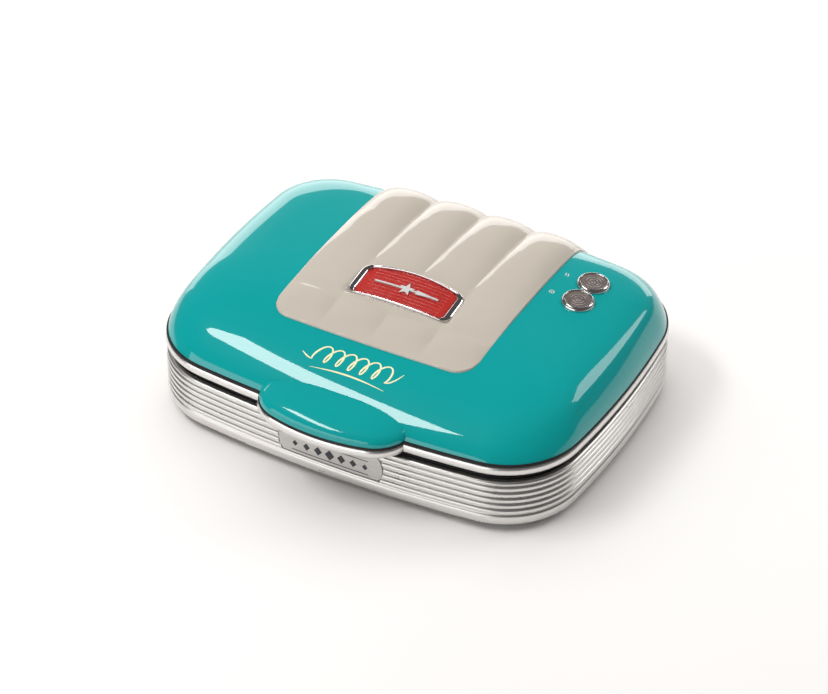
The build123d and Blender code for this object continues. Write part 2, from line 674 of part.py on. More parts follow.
def hinge_knuckle(x):
    """Moving knuckle of the hinge, with the arm that joins it to the trim band."""
    disc = Pos(x, HINGE_Y, HINGE_Z) * Rot(Y=90) * Cylinder(KNUCKLE_RADIUS, 2 * KNUCKLE_HALF)
    web = Plane.YZ.offset(x - KNUCKLE_HALF) * Polygon(
        (92.2, 33.0), (HINGE_Y, HINGE_Z - KNUCKLE_RADIUS + 0.02), (HINGE_Y, HINGE_Z + KNUCKLE_RADIUS - 0.02),
        (92.2, 37.2), align=None,
    )
    return disc + extrude(web, amount=2 * KNUCKLE_HALF, dir=(1, 0, 0))


def make_trim_band():
    around = body_ring(trim_profile) - handle_prism(TRIM_THICK, 30, 40)
    lip = handle_ring(trim_profile) - body_prism(TRIM_THICK, 30, 40)
    band = around + lip
    for x in (-HINGE_X, HINGE_X):
        band += hinge_knuckle(x)
    return band - hinge_bore(PIN_RADIUS + 0.06)


def make_handle_underside():
    """Black plate that closes the handle from below, inside the trim."""
    plate = handle_prism(TRIM_THICK + 0.25, 33.6, 35.6) - body_prism(TRIM_THICK - 0.5, 30, 40)
    for x, y in HANDLE_SCREWS:
        plate -= tube(x, y, 1.6, 30, 40)
        plate -= tube(x, y, 2.9, 30, 34.6)
    return plate


# ---------------------------------------------------------------- panel, badge, lights
PANEL_PEGS = [(x * 52.0, y) for x in (-1, 1) for y in (-40.0, 40.0)]
# Flute height above its two valleys, at stations along the panel
FLUTE_STATIONS = [(-56.0, 0.3), (-40.0, 1.0), (-20.0, 1.0), (0.0, 1.3), (22.0, 2.0), (42.0, 2.8), (58.0, 3.3),
                  (70.0, 3.5), (79.0, 3.5), (86.0, 3.4)]


def flute(index):
    """One convex flute, lofted from the front to the back of the panel."""
    width = 2 * PANEL_HALF_WIDTH / FLUTES
    x0 = -PANEL_HALF_WIDTH + index * width
    x1 = x0 + width
    sections = []
    for y, hump in FLUTE_STATIONS:
        z0 = lid_height(x0, y) + PANEL_STAND
        z1 = lid_height(x1, y) + PANEL_STAND
        crest = (z0 + z1) / 2 + hump
        floor = min(z0, z1) - 9
        sections.append(Wire([
            ThreePointArc((x0, y, z0), ((x0 + x1) / 2, y, crest), (x1, y, z1)).edge(),
            Line((x1, y, z1), (x1, y, floor)).edge(),
            Line((x1, y, floor), (x0, y, floor)).edge(),
            Line((x0, y, floor), (x0, y, z0)).edge(),
        ]))
    return Solid.make_loft(sections)


def badge_outline(half_width, bottom, shoulder, crest, corner):
    """Badge outline in its own plane: straight foot, arched top, rounded corners."""
    face = make_face([
        Line((-half_width, bottom), (half_width, bottom)).edge(),
        Line((half_width, bottom), (half_width, shoulder)).edge(),
        ThreePointArc((half_width, shoulder), (0, crest), (-half_width, shoulder)).edge(),
        Line((-half_width, shoulder), (-half_width, bottom)).edge(),
    ])
    return fillet(face.vertices(), corner)


def badge_slice(face, low, high):
    """The part of a badge outline between two heights above its barrel-shaped face."""
    prism = Pos(0, 0, -20) * extrude(face, amount=40)
    outer = Pos(0, 0, -BADGE_BARREL) * Rot(X=90) * Cylinder(BADGE_BARREL + high, 60)
    inner = Pos(0, 0, -BADGE_BARREL) * Rot(X=90) * Cylinder(BADGE_BARREL + low, 61)
    return (prism & outer) - inner


BADGE_PLACE = Pos(0, BADGE_Y, BADGE_Z) * Rot(X=BADGE_TILT)
BADGE_OUTER = (31.0, -12.6, 9.4, 12.9, 4.0)
BADGE_INNER = (26.4, -10.9, 8.3, 11.1, 2.6)
BADGE_OPENING_GAP = 0.25   # how much the lid's opening is larger than the badge, all round


def grown(sizes, amount):
    """A badge outline made larger all round."""
    half_width, bottom, shoulder, crest, corner = sizes
    upper = (shoulder + amount, crest + amount)
    return badge_outline(half_width + amount, bottom - amount, *upper, corner + amount)


def make_top_panel(form):
    flutes = one([flute(i) for i in range(FLUTES)])
    front_left = (-PANEL_HALF_WIDTH, PANEL_FRONT)
    front_right = (PANEL_HALF_WIDTH, PANEL_FRONT)
    plan = make_face([
        Line((-PANEL_HALF_WIDTH, PANEL_BACK), front_left).edge(),
        ThreePointArc(front_left, (0, PANEL_FRONT - PANEL_FRONT_BOW), front_right).edge(),
        Line(front_right, (PANEL_HALF_WIDTH, PANEL_BACK)).edge(),
        Line((PANEL_HALF_WIDTH, PANEL_BACK), (-PANEL_HALF_WIDTH, PANEL_BACK)).edge(),
    ])
    front_corners = plan.vertices().group_by(Axis.Y)[0]
    plan = fillet(front_corners, PANEL_CORNER)
    panel = flutes & extrude(plan, amount=100)
    panel -= form
    panel = panel.solids().sort_by(SortBy.VOLUME)[-1]
    for x, y in PANEL_PEGS:
        panel += tube(x, y, 1.6, lid_height(x, y) - 6, lid_height(x, y) + 0.6)
    return panel - BADGE_PLACE * badge_slice(grown(BADGE_OUTER, 0.15), -3.9, 12)


def make_badge_bezel():
    tray = badge_slice(badge_outline(*BADGE_OUTER), -3.7, 0.5)
    return BADGE_PLACE * (tray - badge_slice(badge_outline(*BADGE_INNER), -1.9, 5))


def make_badge_lens():
    lens = badge_slice(grown(BADGE_INNER, -0.15), -1.85, 0.15)
    for i in range(7):
        lens -= Pos(0, -8.2 + i * 2.7, 0) * badge_slice(Rectangle(50, 0.5), 0.0, 1)
    return BADGE_PLACE * lens


def star(points, outer, inner):
    """A star as a flat face."""
    corners = []
    for i in range(2 * points):
        r = outer if i % 2 == 0 else inner
        angle = math.pi / 2 + i * math.pi / points
        corners.append((r * math.cos(angle), r * math.sin(angle)))
    return Polygon(*corners, align=None)


def make_badge_emblem():
    """Plain emblem: a star between two tapered bars, joined by a thin line."""
    mark = star(5, 4.6, 2.0) + Rectangle(38, 1.0)
    for side in (-1, 1):
        bar = Polygon((-side * 6.5, -1.5), (side * 6.5, 0), (-side * 6.5, 1.5), align=None)
        mark += Pos(side * 12.5, 0) * bar
    return BADGE_PLACE * badge_slice(mark, 0.17, 0.75)


def light_bezel(y):
    """Raised ring with a barrel that drops through the lid."""
    z = lid_height(LIGHT_X, y)
    ring = Pos(LIGHT_X, y, z - 1.4) * extrude(Circle(LIGHT_RADIUS), amount=LIGHT_STAND + 1.4)
    ring = fillet(ring.edges().group_by(Axis.Z)[-1], 1.2)
    ring -= tube(LIGHT_X, y, 7.0, z + 0.9, z + 6)
    ring -= LID_FORM
    barrel = tube(LIGHT_X, y, 6.3, z - 6.5, z + 0.9)
    return ring.solids().sort_by(SortBy.VOLUME)[-1] + barrel - tube(LIGHT_X, y, 4.6, z - 10, z + 6)


def light_lens(y):
    """Ringed lens on a stem that carries the lamp's light up."""
    z = lid_height(LIGHT_X, y)
    cap = Pos(LIGHT_X, y, z + 0.95) * extrude(Circle(6.8), amount=1.4)
    cap = fillet(cap.edges().group_by(Axis.Z)[-1], 0.5)
    for radius in (2.2, 4.2, 5.6):
        groove = extrude(Circle(radius) - Circle(radius - 0.5), amount=0.3, both=True)
        cap -= Pos(LIGHT_X, y, z + 2.35) * groove
    return cap + tube(LIGHT_X, y, 4.4, z - 4.4, z + 1.2)


LAMP_BOARD_Z = 53.0
WIRE_RADIUS = 1.1


def make_lamp(y):
    """Small neon lamp standing on the lamp board."""
    return Pos(LIGHT_X, y, LAMP_BOARD_Z + 0.85) * (
        Pos(0, 0, 1.3) * Cylinder(1.7, 2.6) + Pos(0, 0, 2.6) * Sphere(1.7)
    )


def make_lamp_board():
    """Board with the two lamps, standing on the reflector on two feet."""
    middle = sum(LIGHT_YS.values()) / 2
    board = Pos(LIGHT_X, middle, LAMP_BOARD_Z) * Box(12, 38, 1.6)
    for y in (middle - 15.5, middle + 15.5):
        board += block(LIGHT_X - 4, LIGHT_X + 4, y - 1.5, y + 1.5, UPPER_REFLECTOR_Z + 0.05, LAMP_BOARD_Z)
    return board


def wire_run(points, radius):
    """An insulated wire along straight runs with round bends."""
    path = FilletPolyline(*points, radius=3.0)
    first = Vector(*points[0])
    way = Vector(*points[1]) - first
    return sweep(Plane(origin=first, z_dir=way) * Circle(radius), path=path)


# ---------------------------------------------------------------- writing the parts
def at_rest(shape):
    """Turns a lid part, drawn closed flat, to where the lid rests."""
    return Pos(0, HINGE_Y, HINGE_Z) * Rot(X=-LID_REST_TILT) * Pos(0, -HINGE_Y, -HINGE_Z) * shape


def group(shapes):
    """Separate solids that share one node."""
    return Compound(children=[solid for shape in shapes for solid in shape.solids()])


def ledge_screws(z, height, tip):
    """The four screws that hold a surround to the posts of its shell."""
    return group([screw(x, y, z, 2.8, height, SCREW_RADIUS, tip) for x, y in POST_POINTS])


FRONT_Y = HANDLE_FRONT_Y - 0.1
PLAN_SHIFT = -(HINGE_Y + EAR_RADIUS + FRONT_Y) / 2
LID_FORM = lid_solid()
LOWER_HEATER_Z = LOWER_PLATE_TOP - WELL_DEEP - WELL_SKIN - HEATER_RADIUS - 0.05
UPPER_HEATER_Z = UPPER_PLATE_BOTTOM + WELL_DEEP + WELL_SKIN + HEATER_RADIUS + 0.05
UPPER_REFLECTOR_Z = UPPER_HEATER_Z + 5.4


def base_parts():
    """Every part that stays still."""
    lower_plate = Pos(0, 0, LOWER_PLATE_TOP) * make_plate()
    surround = make_surround(LOWER_LEDGE_BOTTOM, False)
    for x, y in POST_POINTS:
        surround -= tube(x, y, 1.6, 20, 40)
        surround -= tube(x, y, 3.1, LOWER_SURROUND_TOP - 2, 40)
    for x in (-PLATE_SCREW_X, PLATE_SCREW_X):
        for y in (-PLATE_SCREW_Y, PLATE_SCREW_Y):
            surround -= tube(x, y, 1.6, 20, 40)
    reflector = make_reflector(6.95, 1)
    for x, y in REFLECTOR_POINTS:
        reflector -= tube(x, y, 1.6, 5, 9)
    pin_inner = HINGE_X - KNUCKLE_HALF - HINGE_GAP - EAR_WIDTH
    pin_outer = HINGE_X + KNUCKLE_HALF + HINGE_GAP + EAR_WIDTH
    pin_middle = (pin_inner + pin_outer) / 2
    pin = Rot(Y=90) * Cylinder(PIN_RADIUS, pin_outer - pin_inner)
    pin += Pos((pin_outer - pin_inner) / 2 + 0.6, 0, 0) * Rot(Y=90) * Cylinder(PIN_HEAD_RADIUS, 1.2)
    right_pin = Pos(pin_middle, HINGE_Y, HINGE_Z) * pin
    terminal = block(-56, -24, 70, 82, 4.7, 15.0)
    for i in range(3):
        terminal -= tube(-50 + i * 10, 76, 2.6, 9.0, 20)
    tail = HEATER_TAIL_Y + 5.6
    wires = [
        wire_run([(-50, 76, 9.1), (-50, 76, 22.0), (-HEATER_TAIL_X, 76, 22.0),
                  (-HEATER_TAIL_X, 76, LOWER_HEATER_Z), (-HEATER_TAIL_X, tail, LOWER_HEATER_Z)], WIRE_RADIUS),
        wire_run([(-40, 76, 9.1), (-40, 76, 18.5), (-40, 84, 18.5), (HEATER_TAIL_X, 84, 18.5),
                  (HEATER_TAIL_X, 84, LOWER_HEATER_Z - 5), (HEATER_TAIL_X, 76, LOWER_HEATER_Z - 5),
                  (HEATER_TAIL_X, 76, LOWER_HEATER_Z + 1)], WIRE_RADIUS),
    ]
    thermostat = tube(0, -8, 8.5, 12.5, 20.6) + block(-11, 11, -11, -5, 16.0, 17.2)
    for x in (-7, 7):
        thermostat += block(x - 1.6, x + 1.6, -8.4, -7.6, 8.9, 12.8)
    return {
        "base_housing": make_base_housing(),
        "hinge_brackets": group([hinge_bracket(1), hinge_bracket(-1)]),
        "screw_bosses": group([screw_boss(x, y) for x, y in COVER_SCREWS]),
        "name_plate": make_name_plate(),
        "cord_gland": make_cord_gland(),
        "bottom_cover": make_bottom_cover(),
        "rubber_feet": group([make_foot(x, y) for x, y in FOOT_POINTS]),
        "bottom_screws": group([screw(x, y, -1.5, 2.9, 1.45, SCREW_RADIUS, 9.0) for x, y in COVER_SCREWS]),
        "lower_surround": surround,
        "surround_screws": ledge_screws(LOWER_SURROUND_TOP - 0.2, 1.7, 16.0),
        "lower_plate": lower_plate,
        "lower_plate_screws": group(plate_screws(LOWER_PLATE_TOP, -1)),
        "lower_heater": make_heater(LOWER_HEATER_Z),
        "lower_heater_clamps": group(heater_clamps(LOWER_HEATER_Z, 1)),
        "lower_reflector": reflector,
        "reflector_screws": group([
            screw(x, y, 9.1, 2.4, 1.4, SCREW_RADIUS, 3.6) for x, y in REFLECTOR_POINTS
        ]),
        "thermostat": thermostat,
        "terminal_block": terminal,
        "base_wiring": group(wires),
        "right_hinge_pin": right_pin,
        "left_hinge_pin": mirror(right_pin, about=Plane.YZ),
    }


def lid_parts():
    """Every part that swings with the lid, drawn closed flat."""
    surround = make_surround(UPPER_SURROUND_BOTTOM, True)
    for x, y in POST_POINTS:
        surround -= tube(x, y, 1.6, 20, 50)
        surround -= tube(x, y, 3.1, 20, UPPER_SURROUND_BOTTOM + 2)
    for x in (-PLATE_SCREW_X, PLATE_SCREW_X):
        for y in (-PLATE_SCREW_Y, PLATE_SCREW_Y):
            surround -= tube(x, y, 1.6, 20, 50)
    upper_plate = Pos(0, 0, UPPER_PLATE_BOTTOM) * mirror(make_plate(), about=Plane.XY)
    fuse = Pos(0, -8, UPPER_HEATER_Z - 1.0) * Rot(Y=90) * Cylinder(2.2, 16)
    fuse += Pos(0, -8, UPPER_HEATER_Z - 1.0) * Rot(Y=90) * Cylinder(0.6, 34)
    tail = HEATER_TAIL_Y + 5.6
    board_y = sum(LIGHT_YS.values()) / 2
    wiring = wire_run([(HEATER_TAIL_X, tail, UPPER_HEATER_Z), (HEATER_TAIL_X, tail + 6.5, UPPER_HEATER_Z),
                       (68, tail + 6.5, UPPER_HEATER_Z), (LIGHT_X, 66, LAMP_BOARD_Z),
                       (LIGHT_X, board_y + 19.1, LAMP_BOARD_Z)], WIRE_RADIUS)
    parts = {
        "lid_cover": make_lid_cover(LID_FORM),
        "trim_band": make_trim_band(),
        "handle_underside": make_handle_underside(),
        "handle_screws": group([screw(x, y, 33.7, 2.6, 0.8, SCREW_RADIUS, 41.0) for x, y in HANDLE_SCREWS]),
        "upper_surround": surround,
        "lid_screws": ledge_screws(UPPER_SURROUND_BOTTOM + 0.2, 1.7, 42.0),
        "upper_plate": upper_plate,
        "upper_plate_screws": group(plate_screws(UPPER_PLATE_BOTTOM, 1)),
        "upper_heater": make_heater(UPPER_HEATER_Z),
        "upper_heater_clamps": group(heater_clamps(UPPER_HEATER_Z, -1)),
        "upper_reflector": make_reflector(UPPER_REFLECTOR_Z, -1),
        "thermal_fuse": fuse,
        "lamp_board": make_lamp_board(),
        "lid_wiring": wiring,
        "top_panel": make_top_panel(LID_FORM),
        "badge_bezel": make_badge_bezel(),
        "badge_lens": make_badge_lens(),
        "badge_emblem": make_badge_emblem(),
    }
    for name, y in LIGHT_YS.items():
        parts[name + "_bezel"] = light_bezel(y)
        parts[name + "_lens"] = light_lens(y)
        parts[name.replace("light", "lamp")] = make_lamp(y)
    return parts


def write_parts():
    """Moves every part to the shared frame and writes one STEP file for each."""
    os.makedirs("parts", exist_ok=True)
    place = Pos(0, PLAN_SHIFT, FOOT_STAND)
    built = {name: place * shape for name, shape in base_parts().items()}
    built.update({name: place * at_rest(shape) for name, shape in lid_parts().items()})
    for name, shape in built.items():
        export_step(shape, f"parts/{name}.step")
        print(name, len(shape.solids()), round(shape.volume / 1000, 2), "cm3")


write_parts()
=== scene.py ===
# %% [markdown]
# A waffle maker with a domed, hinged lid stands closed on a pale table. The frame below is the exact
# construction of the appliance: every plate, screw and hinge pin is already in its place. The lesson adds
# the looks: smoother shells, fine trim, a badge, pilot lights, materials, and a small photo studio.

# %% Load the frame
import json
import math

import bmesh
import bpy
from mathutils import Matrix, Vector
from mathutils.bvhtree import BVHTree


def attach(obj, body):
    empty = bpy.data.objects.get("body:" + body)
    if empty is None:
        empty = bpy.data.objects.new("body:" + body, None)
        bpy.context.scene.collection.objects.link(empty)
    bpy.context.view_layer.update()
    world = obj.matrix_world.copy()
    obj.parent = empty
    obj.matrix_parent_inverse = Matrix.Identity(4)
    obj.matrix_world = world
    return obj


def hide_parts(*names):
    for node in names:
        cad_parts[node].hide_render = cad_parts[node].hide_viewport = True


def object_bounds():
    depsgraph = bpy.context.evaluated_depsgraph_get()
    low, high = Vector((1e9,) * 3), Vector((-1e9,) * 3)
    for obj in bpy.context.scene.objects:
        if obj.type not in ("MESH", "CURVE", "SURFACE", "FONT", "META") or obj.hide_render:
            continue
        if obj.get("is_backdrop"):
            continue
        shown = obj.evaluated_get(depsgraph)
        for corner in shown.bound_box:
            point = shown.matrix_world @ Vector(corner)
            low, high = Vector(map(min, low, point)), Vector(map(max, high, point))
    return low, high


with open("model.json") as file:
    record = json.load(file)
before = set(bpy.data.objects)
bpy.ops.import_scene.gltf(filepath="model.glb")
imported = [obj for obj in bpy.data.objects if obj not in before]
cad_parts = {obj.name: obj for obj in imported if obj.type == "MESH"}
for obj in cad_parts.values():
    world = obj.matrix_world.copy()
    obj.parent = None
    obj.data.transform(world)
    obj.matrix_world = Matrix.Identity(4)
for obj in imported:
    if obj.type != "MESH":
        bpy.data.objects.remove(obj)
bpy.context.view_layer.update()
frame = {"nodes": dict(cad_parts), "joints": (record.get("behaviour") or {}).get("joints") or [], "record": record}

# %% [markdown]
# The camera comes first, because every later choice is judged through it. A product picture is taken from
# far away with a long lens, so the outlines hardly converge. The camera looks at the middle of the body
# from the front right, and its window is shifted a little, as on a view camera, to place the appliance.

# %% Places and the camera
MM = 0.001
HINGE = Vector(frame["joints"][0]["pos_m"])
HINGE_IN_BODY = Vector((0.0, 100.7, 32.4))          # the same point in the body's own millimetres
BODY_ORIGIN = HINGE - HINGE_IN_BODY * MM
LID_REST_TILT = math.radians(0.567)                 # the closed lid stands open by this much


def stand(x, y, z):
    """A point of the base, given in the body's own millimetres."""
    return BODY_ORIGIN + Vector((x, y, z)) * MM


def seat(x, y, z):
    """A point of the lid, given with the lid drawn closed flat, where it is when the lid rests."""
    dy = y - HINGE_IN_BODY.y
    dz = z - HINGE_IN_BODY.z
    c, s = math.cos(LID_REST_TILT), math.sin(LID_REST_TILT)
    return stand(x, HINGE_IN_BODY.y + dy * c + dz * s, HINGE_IN_BODY.z - dy * s + dz * c)


def add_camera(azimuth, elevation, distance, lens, shift_x, shift_y):
    """A camera that looks at the body's origin from a direction given in degrees."""
    a, e = math.radians(azimuth), math.radians(elevation)
    back = Vector((math.sin(a) * math.cos(e), -math.cos(a) * math.cos(e), math.sin(e)))
    data = bpy.data.cameras.new("camera")
    data.lens = lens
    data.shift_x = shift_x
    data.shift_y = shift_y
    camera = bpy.data.objects.new("camera", data)
    camera.location = BODY_ORIGIN + back * distance
    camera.rotation_euler = (-back).to_track_quat("-Z", "Y").to_euler()
    bpy.context.scene.collection.objects.link(camera)
    bpy.context.scene.camera = camera
    return back


view_back = add_camera(28.68, 38.28, 1.8, 143.4, -0.0046, 0.0399)
print("the camera stands towards", [round(v, 3) for v in view_back])

# %% [markdown]
# Most pieces here are skins stretched over closed loops of points, like hoops under a sail. One helper
# turns a stack of loops into a mesh, and a second puts the mesh on the right body of the frame. Building
# the loops by formula keeps every section smooth and lets neighbours share exactly the same outline.

# %% Helpers for loops, skins and pieces


def link_piece(name, verts, faces, place, smooth=True):
    """A mesh object from points in millimetres, each put in place by the given function."""
    mesh = bpy.data.meshes.new(name)
    mesh.from_pydata([place(*v) for v in verts], [], faces)
    mesh.validate()
    if smooth:
        mesh.polygons.foreach_set("use_smooth", [True] * len(mesh.polygons))
    obj = bpy.data.objects.new(name, mesh)
    bpy.context.scene.collection.objects.link(obj)
    return obj


def skin(loops, closed_ends=(False, False), joined=False):
    """Points and faces of a skin over loops that all have the same number of points."""
    count = len(loops[0])
    verts = [p for loop in loops for p in loop]
    faces = []
    rows = len(loops) if joined else len(loops) - 1
    for i in range(rows):
        a, b = i * count, ((i + 1) % len(loops)) * count
        for j in range(count):
            k = (j + 1) % count
            faces.append((a + j, a + k, b + k, b + j))
    if closed_ends[0]:
        faces.append(tuple(reversed(range(count))))
    if closed_ends[1]:
        last = (len(loops) - 1) * count
        faces.append(tuple(range(last, last + count)))
    return verts, faces


def grid_faces(width, steps):
    """Faces of a grid of points: width points in a row, and steps from the first row to the last."""
    return [(j * width + i, j * width + i + 1, (j + 1) * width + i + 1, (j + 1) * width + i)
            for j in range(steps) for i in range(width - 1)]


def outward(obj):
    """Turns all faces of a closed mesh to look outward."""
    bm = bmesh.new()
    bm.from_mesh(obj.data)
    bmesh.ops.recalc_face_normals(bm, faces=bm.faces)
    bm.to_mesh(obj.data)
    bm.free()
    return obj


def sharpen(obj, degrees):
    """Marks the edges that turn by more than this, so that shading breaks there."""
    bm = bmesh.new()
    bm.from_mesh(obj.data)
    limit = math.radians(degrees)
    for edge in bm.edges:
        if len(edge.link_faces) == 2:
            edge.smooth = edge.calc_face_angle() < limit
    bm.to_mesh(obj.data)
    bm.free()
    return obj


def settle(obj):
    """Applies an object's modifiers to its mesh."""
    graph = bpy.context.evaluated_depsgraph_get()
    mesh = bpy.data.meshes.new_from_object(obj.evaluated_get(graph))
    obj.modifiers.clear()
    old = obj.data
    obj.data = mesh
    bpy.data.meshes.remove(old)
    return obj


def place_piece(obj, body, slot, material, *nodes):
    """Puts a finished piece on its body, gives it its finish and hides the construction it stands for."""
    obj.data.materials.clear()
    obj.data.materials.append(material)
    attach(obj, body)
    if nodes:
        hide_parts(*nodes)
    print(f"{obj.name}: {len(obj.data.vertices)} points, on the {body}")
    return obj


# %% [markdown]
# Finishes come next, one function for each way of making a surface. They share one recipe: a gloss level
# that varies a little from place to place, a colour that does the same, and a bump at the size of the real
# texture. Everything is worked out in the object's own space, so nothing slides when the lid opens.

# %% A workbench for finishes
PLASTIC_IOR = 1.5


def new_finish(name, roughness, metallic=0.0, coat=0.0, coat_roughness=0.03, specular=0.5):
    """A material with one principled shader, and the noise space that its textures use."""
    material = bpy.data.materials.new(name)
    material.use_nodes = True
    nodes = material.node_tree.nodes
    shader = nodes["Principled BSDF"]
    shader.inputs["Roughness"].default_value = roughness
    shader.inputs["Metallic"].default_value = metallic
    shader.inputs["Coat Weight"].default_value = coat
    shader.inputs["Coat Roughness"].default_value = coat_roughness
    shader.inputs["IOR"].default_value = PLASTIC_IOR
    shader.inputs["Specular IOR Level"].default_value = specular
    space = nodes.new("ShaderNodeTexCoord")
    return material, shader, space


def noise(material, space, scale, detail=2.0, stretch=None):
    """A noise texture in object space, stretched along an axis when asked."""
    nodes, links = material.node_tree.nodes, material.node_tree.links
    texture = nodes.new("ShaderNodeTexNoise")
    texture.inputs["Scale"].default_value = scale
    texture.inputs["Detail"].default_value = detail
    if stretch:
        mapping = nodes.new("ShaderNodeMapping")
        mapping.inputs["Scale"].default_value = stretch
        links.new(space.outputs["Object"], mapping.inputs["Vector"])
        links.new(mapping.outputs["Vector"], texture.inputs["Vector"])
    else:
        links.new(space.outputs["Object"], texture.inputs["Vector"])
    return texture


def vary_colour(material, shader, texture, dark, light):
    """Lets the colour wander between two near tones."""
    nodes, links = material.node_tree.nodes, material.node_tree.links
    ramp = nodes.new("ShaderNodeValToRGB")
    ramp.color_ramp.elements[0].position = 0.3
    ramp.color_ramp.elements[1].position = 0.7
    ramp.color_ramp.elements[0].color = (*dark, 1)
    ramp.color_ramp.elements[1].color = (*light, 1)
    links.new(texture.outputs["Fac"], ramp.inputs["Fac"])
    links.new(ramp.outputs["Color"], shader.inputs["Base Color"])


def vary_roughness(material, shader, texture, low, high):
    """Lets the gloss wander between two levels."""
    nodes, links = material.node_tree.nodes, material.node_tree.links
    ranger = nodes.new("ShaderNodeMapRange")
    ranger.inputs["To Min"].default_value = low
    ranger.inputs["To Max"].default_value = high
    links.new(texture.outputs["Fac"], ranger.inputs["Value"])
    links.new(ranger.outputs["Result"], shader.inputs["Roughness"])


def add_bump(material, shader, texture, strength, depth, coat_too=False):
    """Raises the surface by the texture, depth in metres."""
    nodes, links = material.node_tree.nodes, material.node_tree.links
    bump = nodes.new("ShaderNodeBump")
    bump.inputs["Strength"].default_value = strength
    bump.inputs["Distance"].default_value = depth
    links.new(texture.outputs["Fac"], bump.inputs["Height"])
    links.new(bump.outputs["Normal"], shader.inputs["Normal"])
    if coat_too:
        links.new(bump.outputs["Normal"], shader.inputs["Coat Normal"])


# %% [markdown]
# The lid is sprayed with a glossy teal lacquer over plastic. Real lacquer is never a perfect mirror: it has
# a faint orange peel about a millimetre wide. The colour sits under a clear coat, which alone gives the
# crisp reflections. The colour's own gloss is kept low, because a second, blurred reflection would grey it.

# %% Lacquers and moulded plastics


def lacquer(name, dark, light, roughness, coat, peel):
    """Sprayed colour under clear coat, with a faint orange peel."""
    material, shader, space = new_finish(name, roughness, coat=coat, coat_roughness=0.02, specular=0.05)
    vary_colour(material, shader, noise(material, space, 9.0), dark, light)
    vary_roughness(material, shader, noise(material, space, 60.0), roughness * 0.8, roughness * 1.2)
    add_bump(material, shader, noise(material, space, 900.0), peel, 0.00002, coat_too=True)
    return material


def moulded(name, dark, light, roughness, grain=1800.0, depth=0.00003):
    """Plastic or rubber from a spark-eroded mould: an even fine grain."""
    material, shader, space = new_finish(name, roughness)
    vary_colour(material, shader, noise(material, space, 30.0, 4.0), dark, light)
    rough = min(1.0, roughness * 1.15)
    vary_roughness(material, shader, noise(material, space, 200.0), roughness * 0.85, rough)
    add_bump(material, shader, noise(material, space, grain, 3.0), 0.5, depth)
    return material


teal = lacquer("teal_lacquer", (0.0, 0.325, 0.325), (0.0, 0.343, 0.341), 0.35, 1.0, 0.05)
cream = lacquer("cream_lacquer", (0.520, 0.470, 0.405), (0.545, 0.495, 0.430), 0.30, 0.75, 0.08)
black = moulded("black_moulding", (0.010, 0.010, 0.011), (0.016, 0.016, 0.017), 0.55)
# Near-black finish of the rings that paint the shade in the gap between lid and trim.
painted_gap_shade = moulded("painted_gap_shade", (0.006, 0.006, 0.007), (0.012, 0.012, 0.013), 0.7)
rubber = moulded("foot_rubber", (0.018, 0.018, 0.018), (0.030, 0.029, 0.028), 0.85, 900.0, 0.0001)
print("lacquers and mouldings:", teal.name, cream.name, black.name, painted_gap_shade.name, rubber.name)

# %% [markdown]
# The base is plastic sprayed with silver metallic paint. Its flakes make tiny bright and dark grains, so the
# metal look comes from a high metallic value with a middle roughness, and the flakes from a fine cell
# texture. Brushed metal is the other silver here: long scratches in one direction, made by stretching noise.

# %% Silvers and steels


def metallic_paint(name, dark, light, low, high, metal=0.9):
    """Silver paint: fine flakes in a satin binder."""
    material, shader, space = new_finish(name, low, metallic=metal, coat=0.25, coat_roughness=0.15)
    vary_colour(material, shader, noise(material, space, 4200.0, 1.0), dark, light)
    vary_roughness(material, shader, noise(material, space, 120.0, 3.0), low, high)
    add_bump(material, shader, noise(material, space, 2600.0), 0.12, 0.00001)
    return material


def brushed(name, dark, light, low, high, stretch):
    """Metal with long fine scratches along one axis."""
    material, shader, space = new_finish(name, low, metallic=1.0)
    grain = noise(material, space, 60.0, 4.0, stretch)
    vary_colour(material, shader, grain, dark, light)
    vary_roughness(material, shader, grain, low, high)
    add_bump(material, shader, grain, 0.25, 0.00002)
    return material


silver = metallic_paint("silver_paint", (0.66, 0.645, 0.625), (0.76, 0.745, 0.725), 0.24, 0.34)
trim_silver = metallic_paint("trim_paint", (0.68, 0.665, 0.645), (0.78, 0.765, 0.745), 0.20, 0.28)
ALONG_X = (1.0, 60.0, 60.0)
ALONG_Z = (60.0, 60.0, 1.0)
plate_steel = brushed("plate_steel", (0.50, 0.49, 0.475), (0.66, 0.65, 0.635), 0.34, 0.5, ALONG_X)
light_steel = brushed("light_steel", (0.60, 0.585, 0.575), (0.72, 0.705, 0.695), 0.16, 0.26, ALONG_X)
heater_steel = brushed("heater_steel", (0.10, 0.085, 0.08), (0.20, 0.18, 0.17), 0.45, 0.65, ALONG_X)
sheet_steel = brushed("sheet_steel", (0.48, 0.48, 0.48), (0.6, 0.6, 0.6), 0.3, 0.45, ALONG_X)
screw_steel = brushed("screw_steel", (0.34, 0.34, 0.35), (0.5, 0.5, 0.52), 0.28, 0.42, ALONG_Z)
print("silvers:", silver.name, trim_silver.name, plate_steel.name, screw_steel.name)

# %% [markdown]
# A few small finishes are left: bright chrome for the badge, the red and the smoky lenses, the dark
# non-stick coating of the cooking plates, and the insulating stuffs inside. Lenses are made as clear-coated
# colour, because their backs are blind: no light passes through, only a reflection and a deep tone.

# %% Chrome, lenses, coating and insulation


def polished(name, dark, light, roughness):
    """Plated metal: nearly a mirror, with faint wiping marks."""
    material, shader, space = new_finish(name, roughness, metallic=1.0)
    vary_colour(material, shader, noise(material, space, 40.0), dark, light)
    vary_roughness(material, shader, noise(material, space, 90.0, 4.0), roughness * 0.6, roughness * 1.6)
    return material


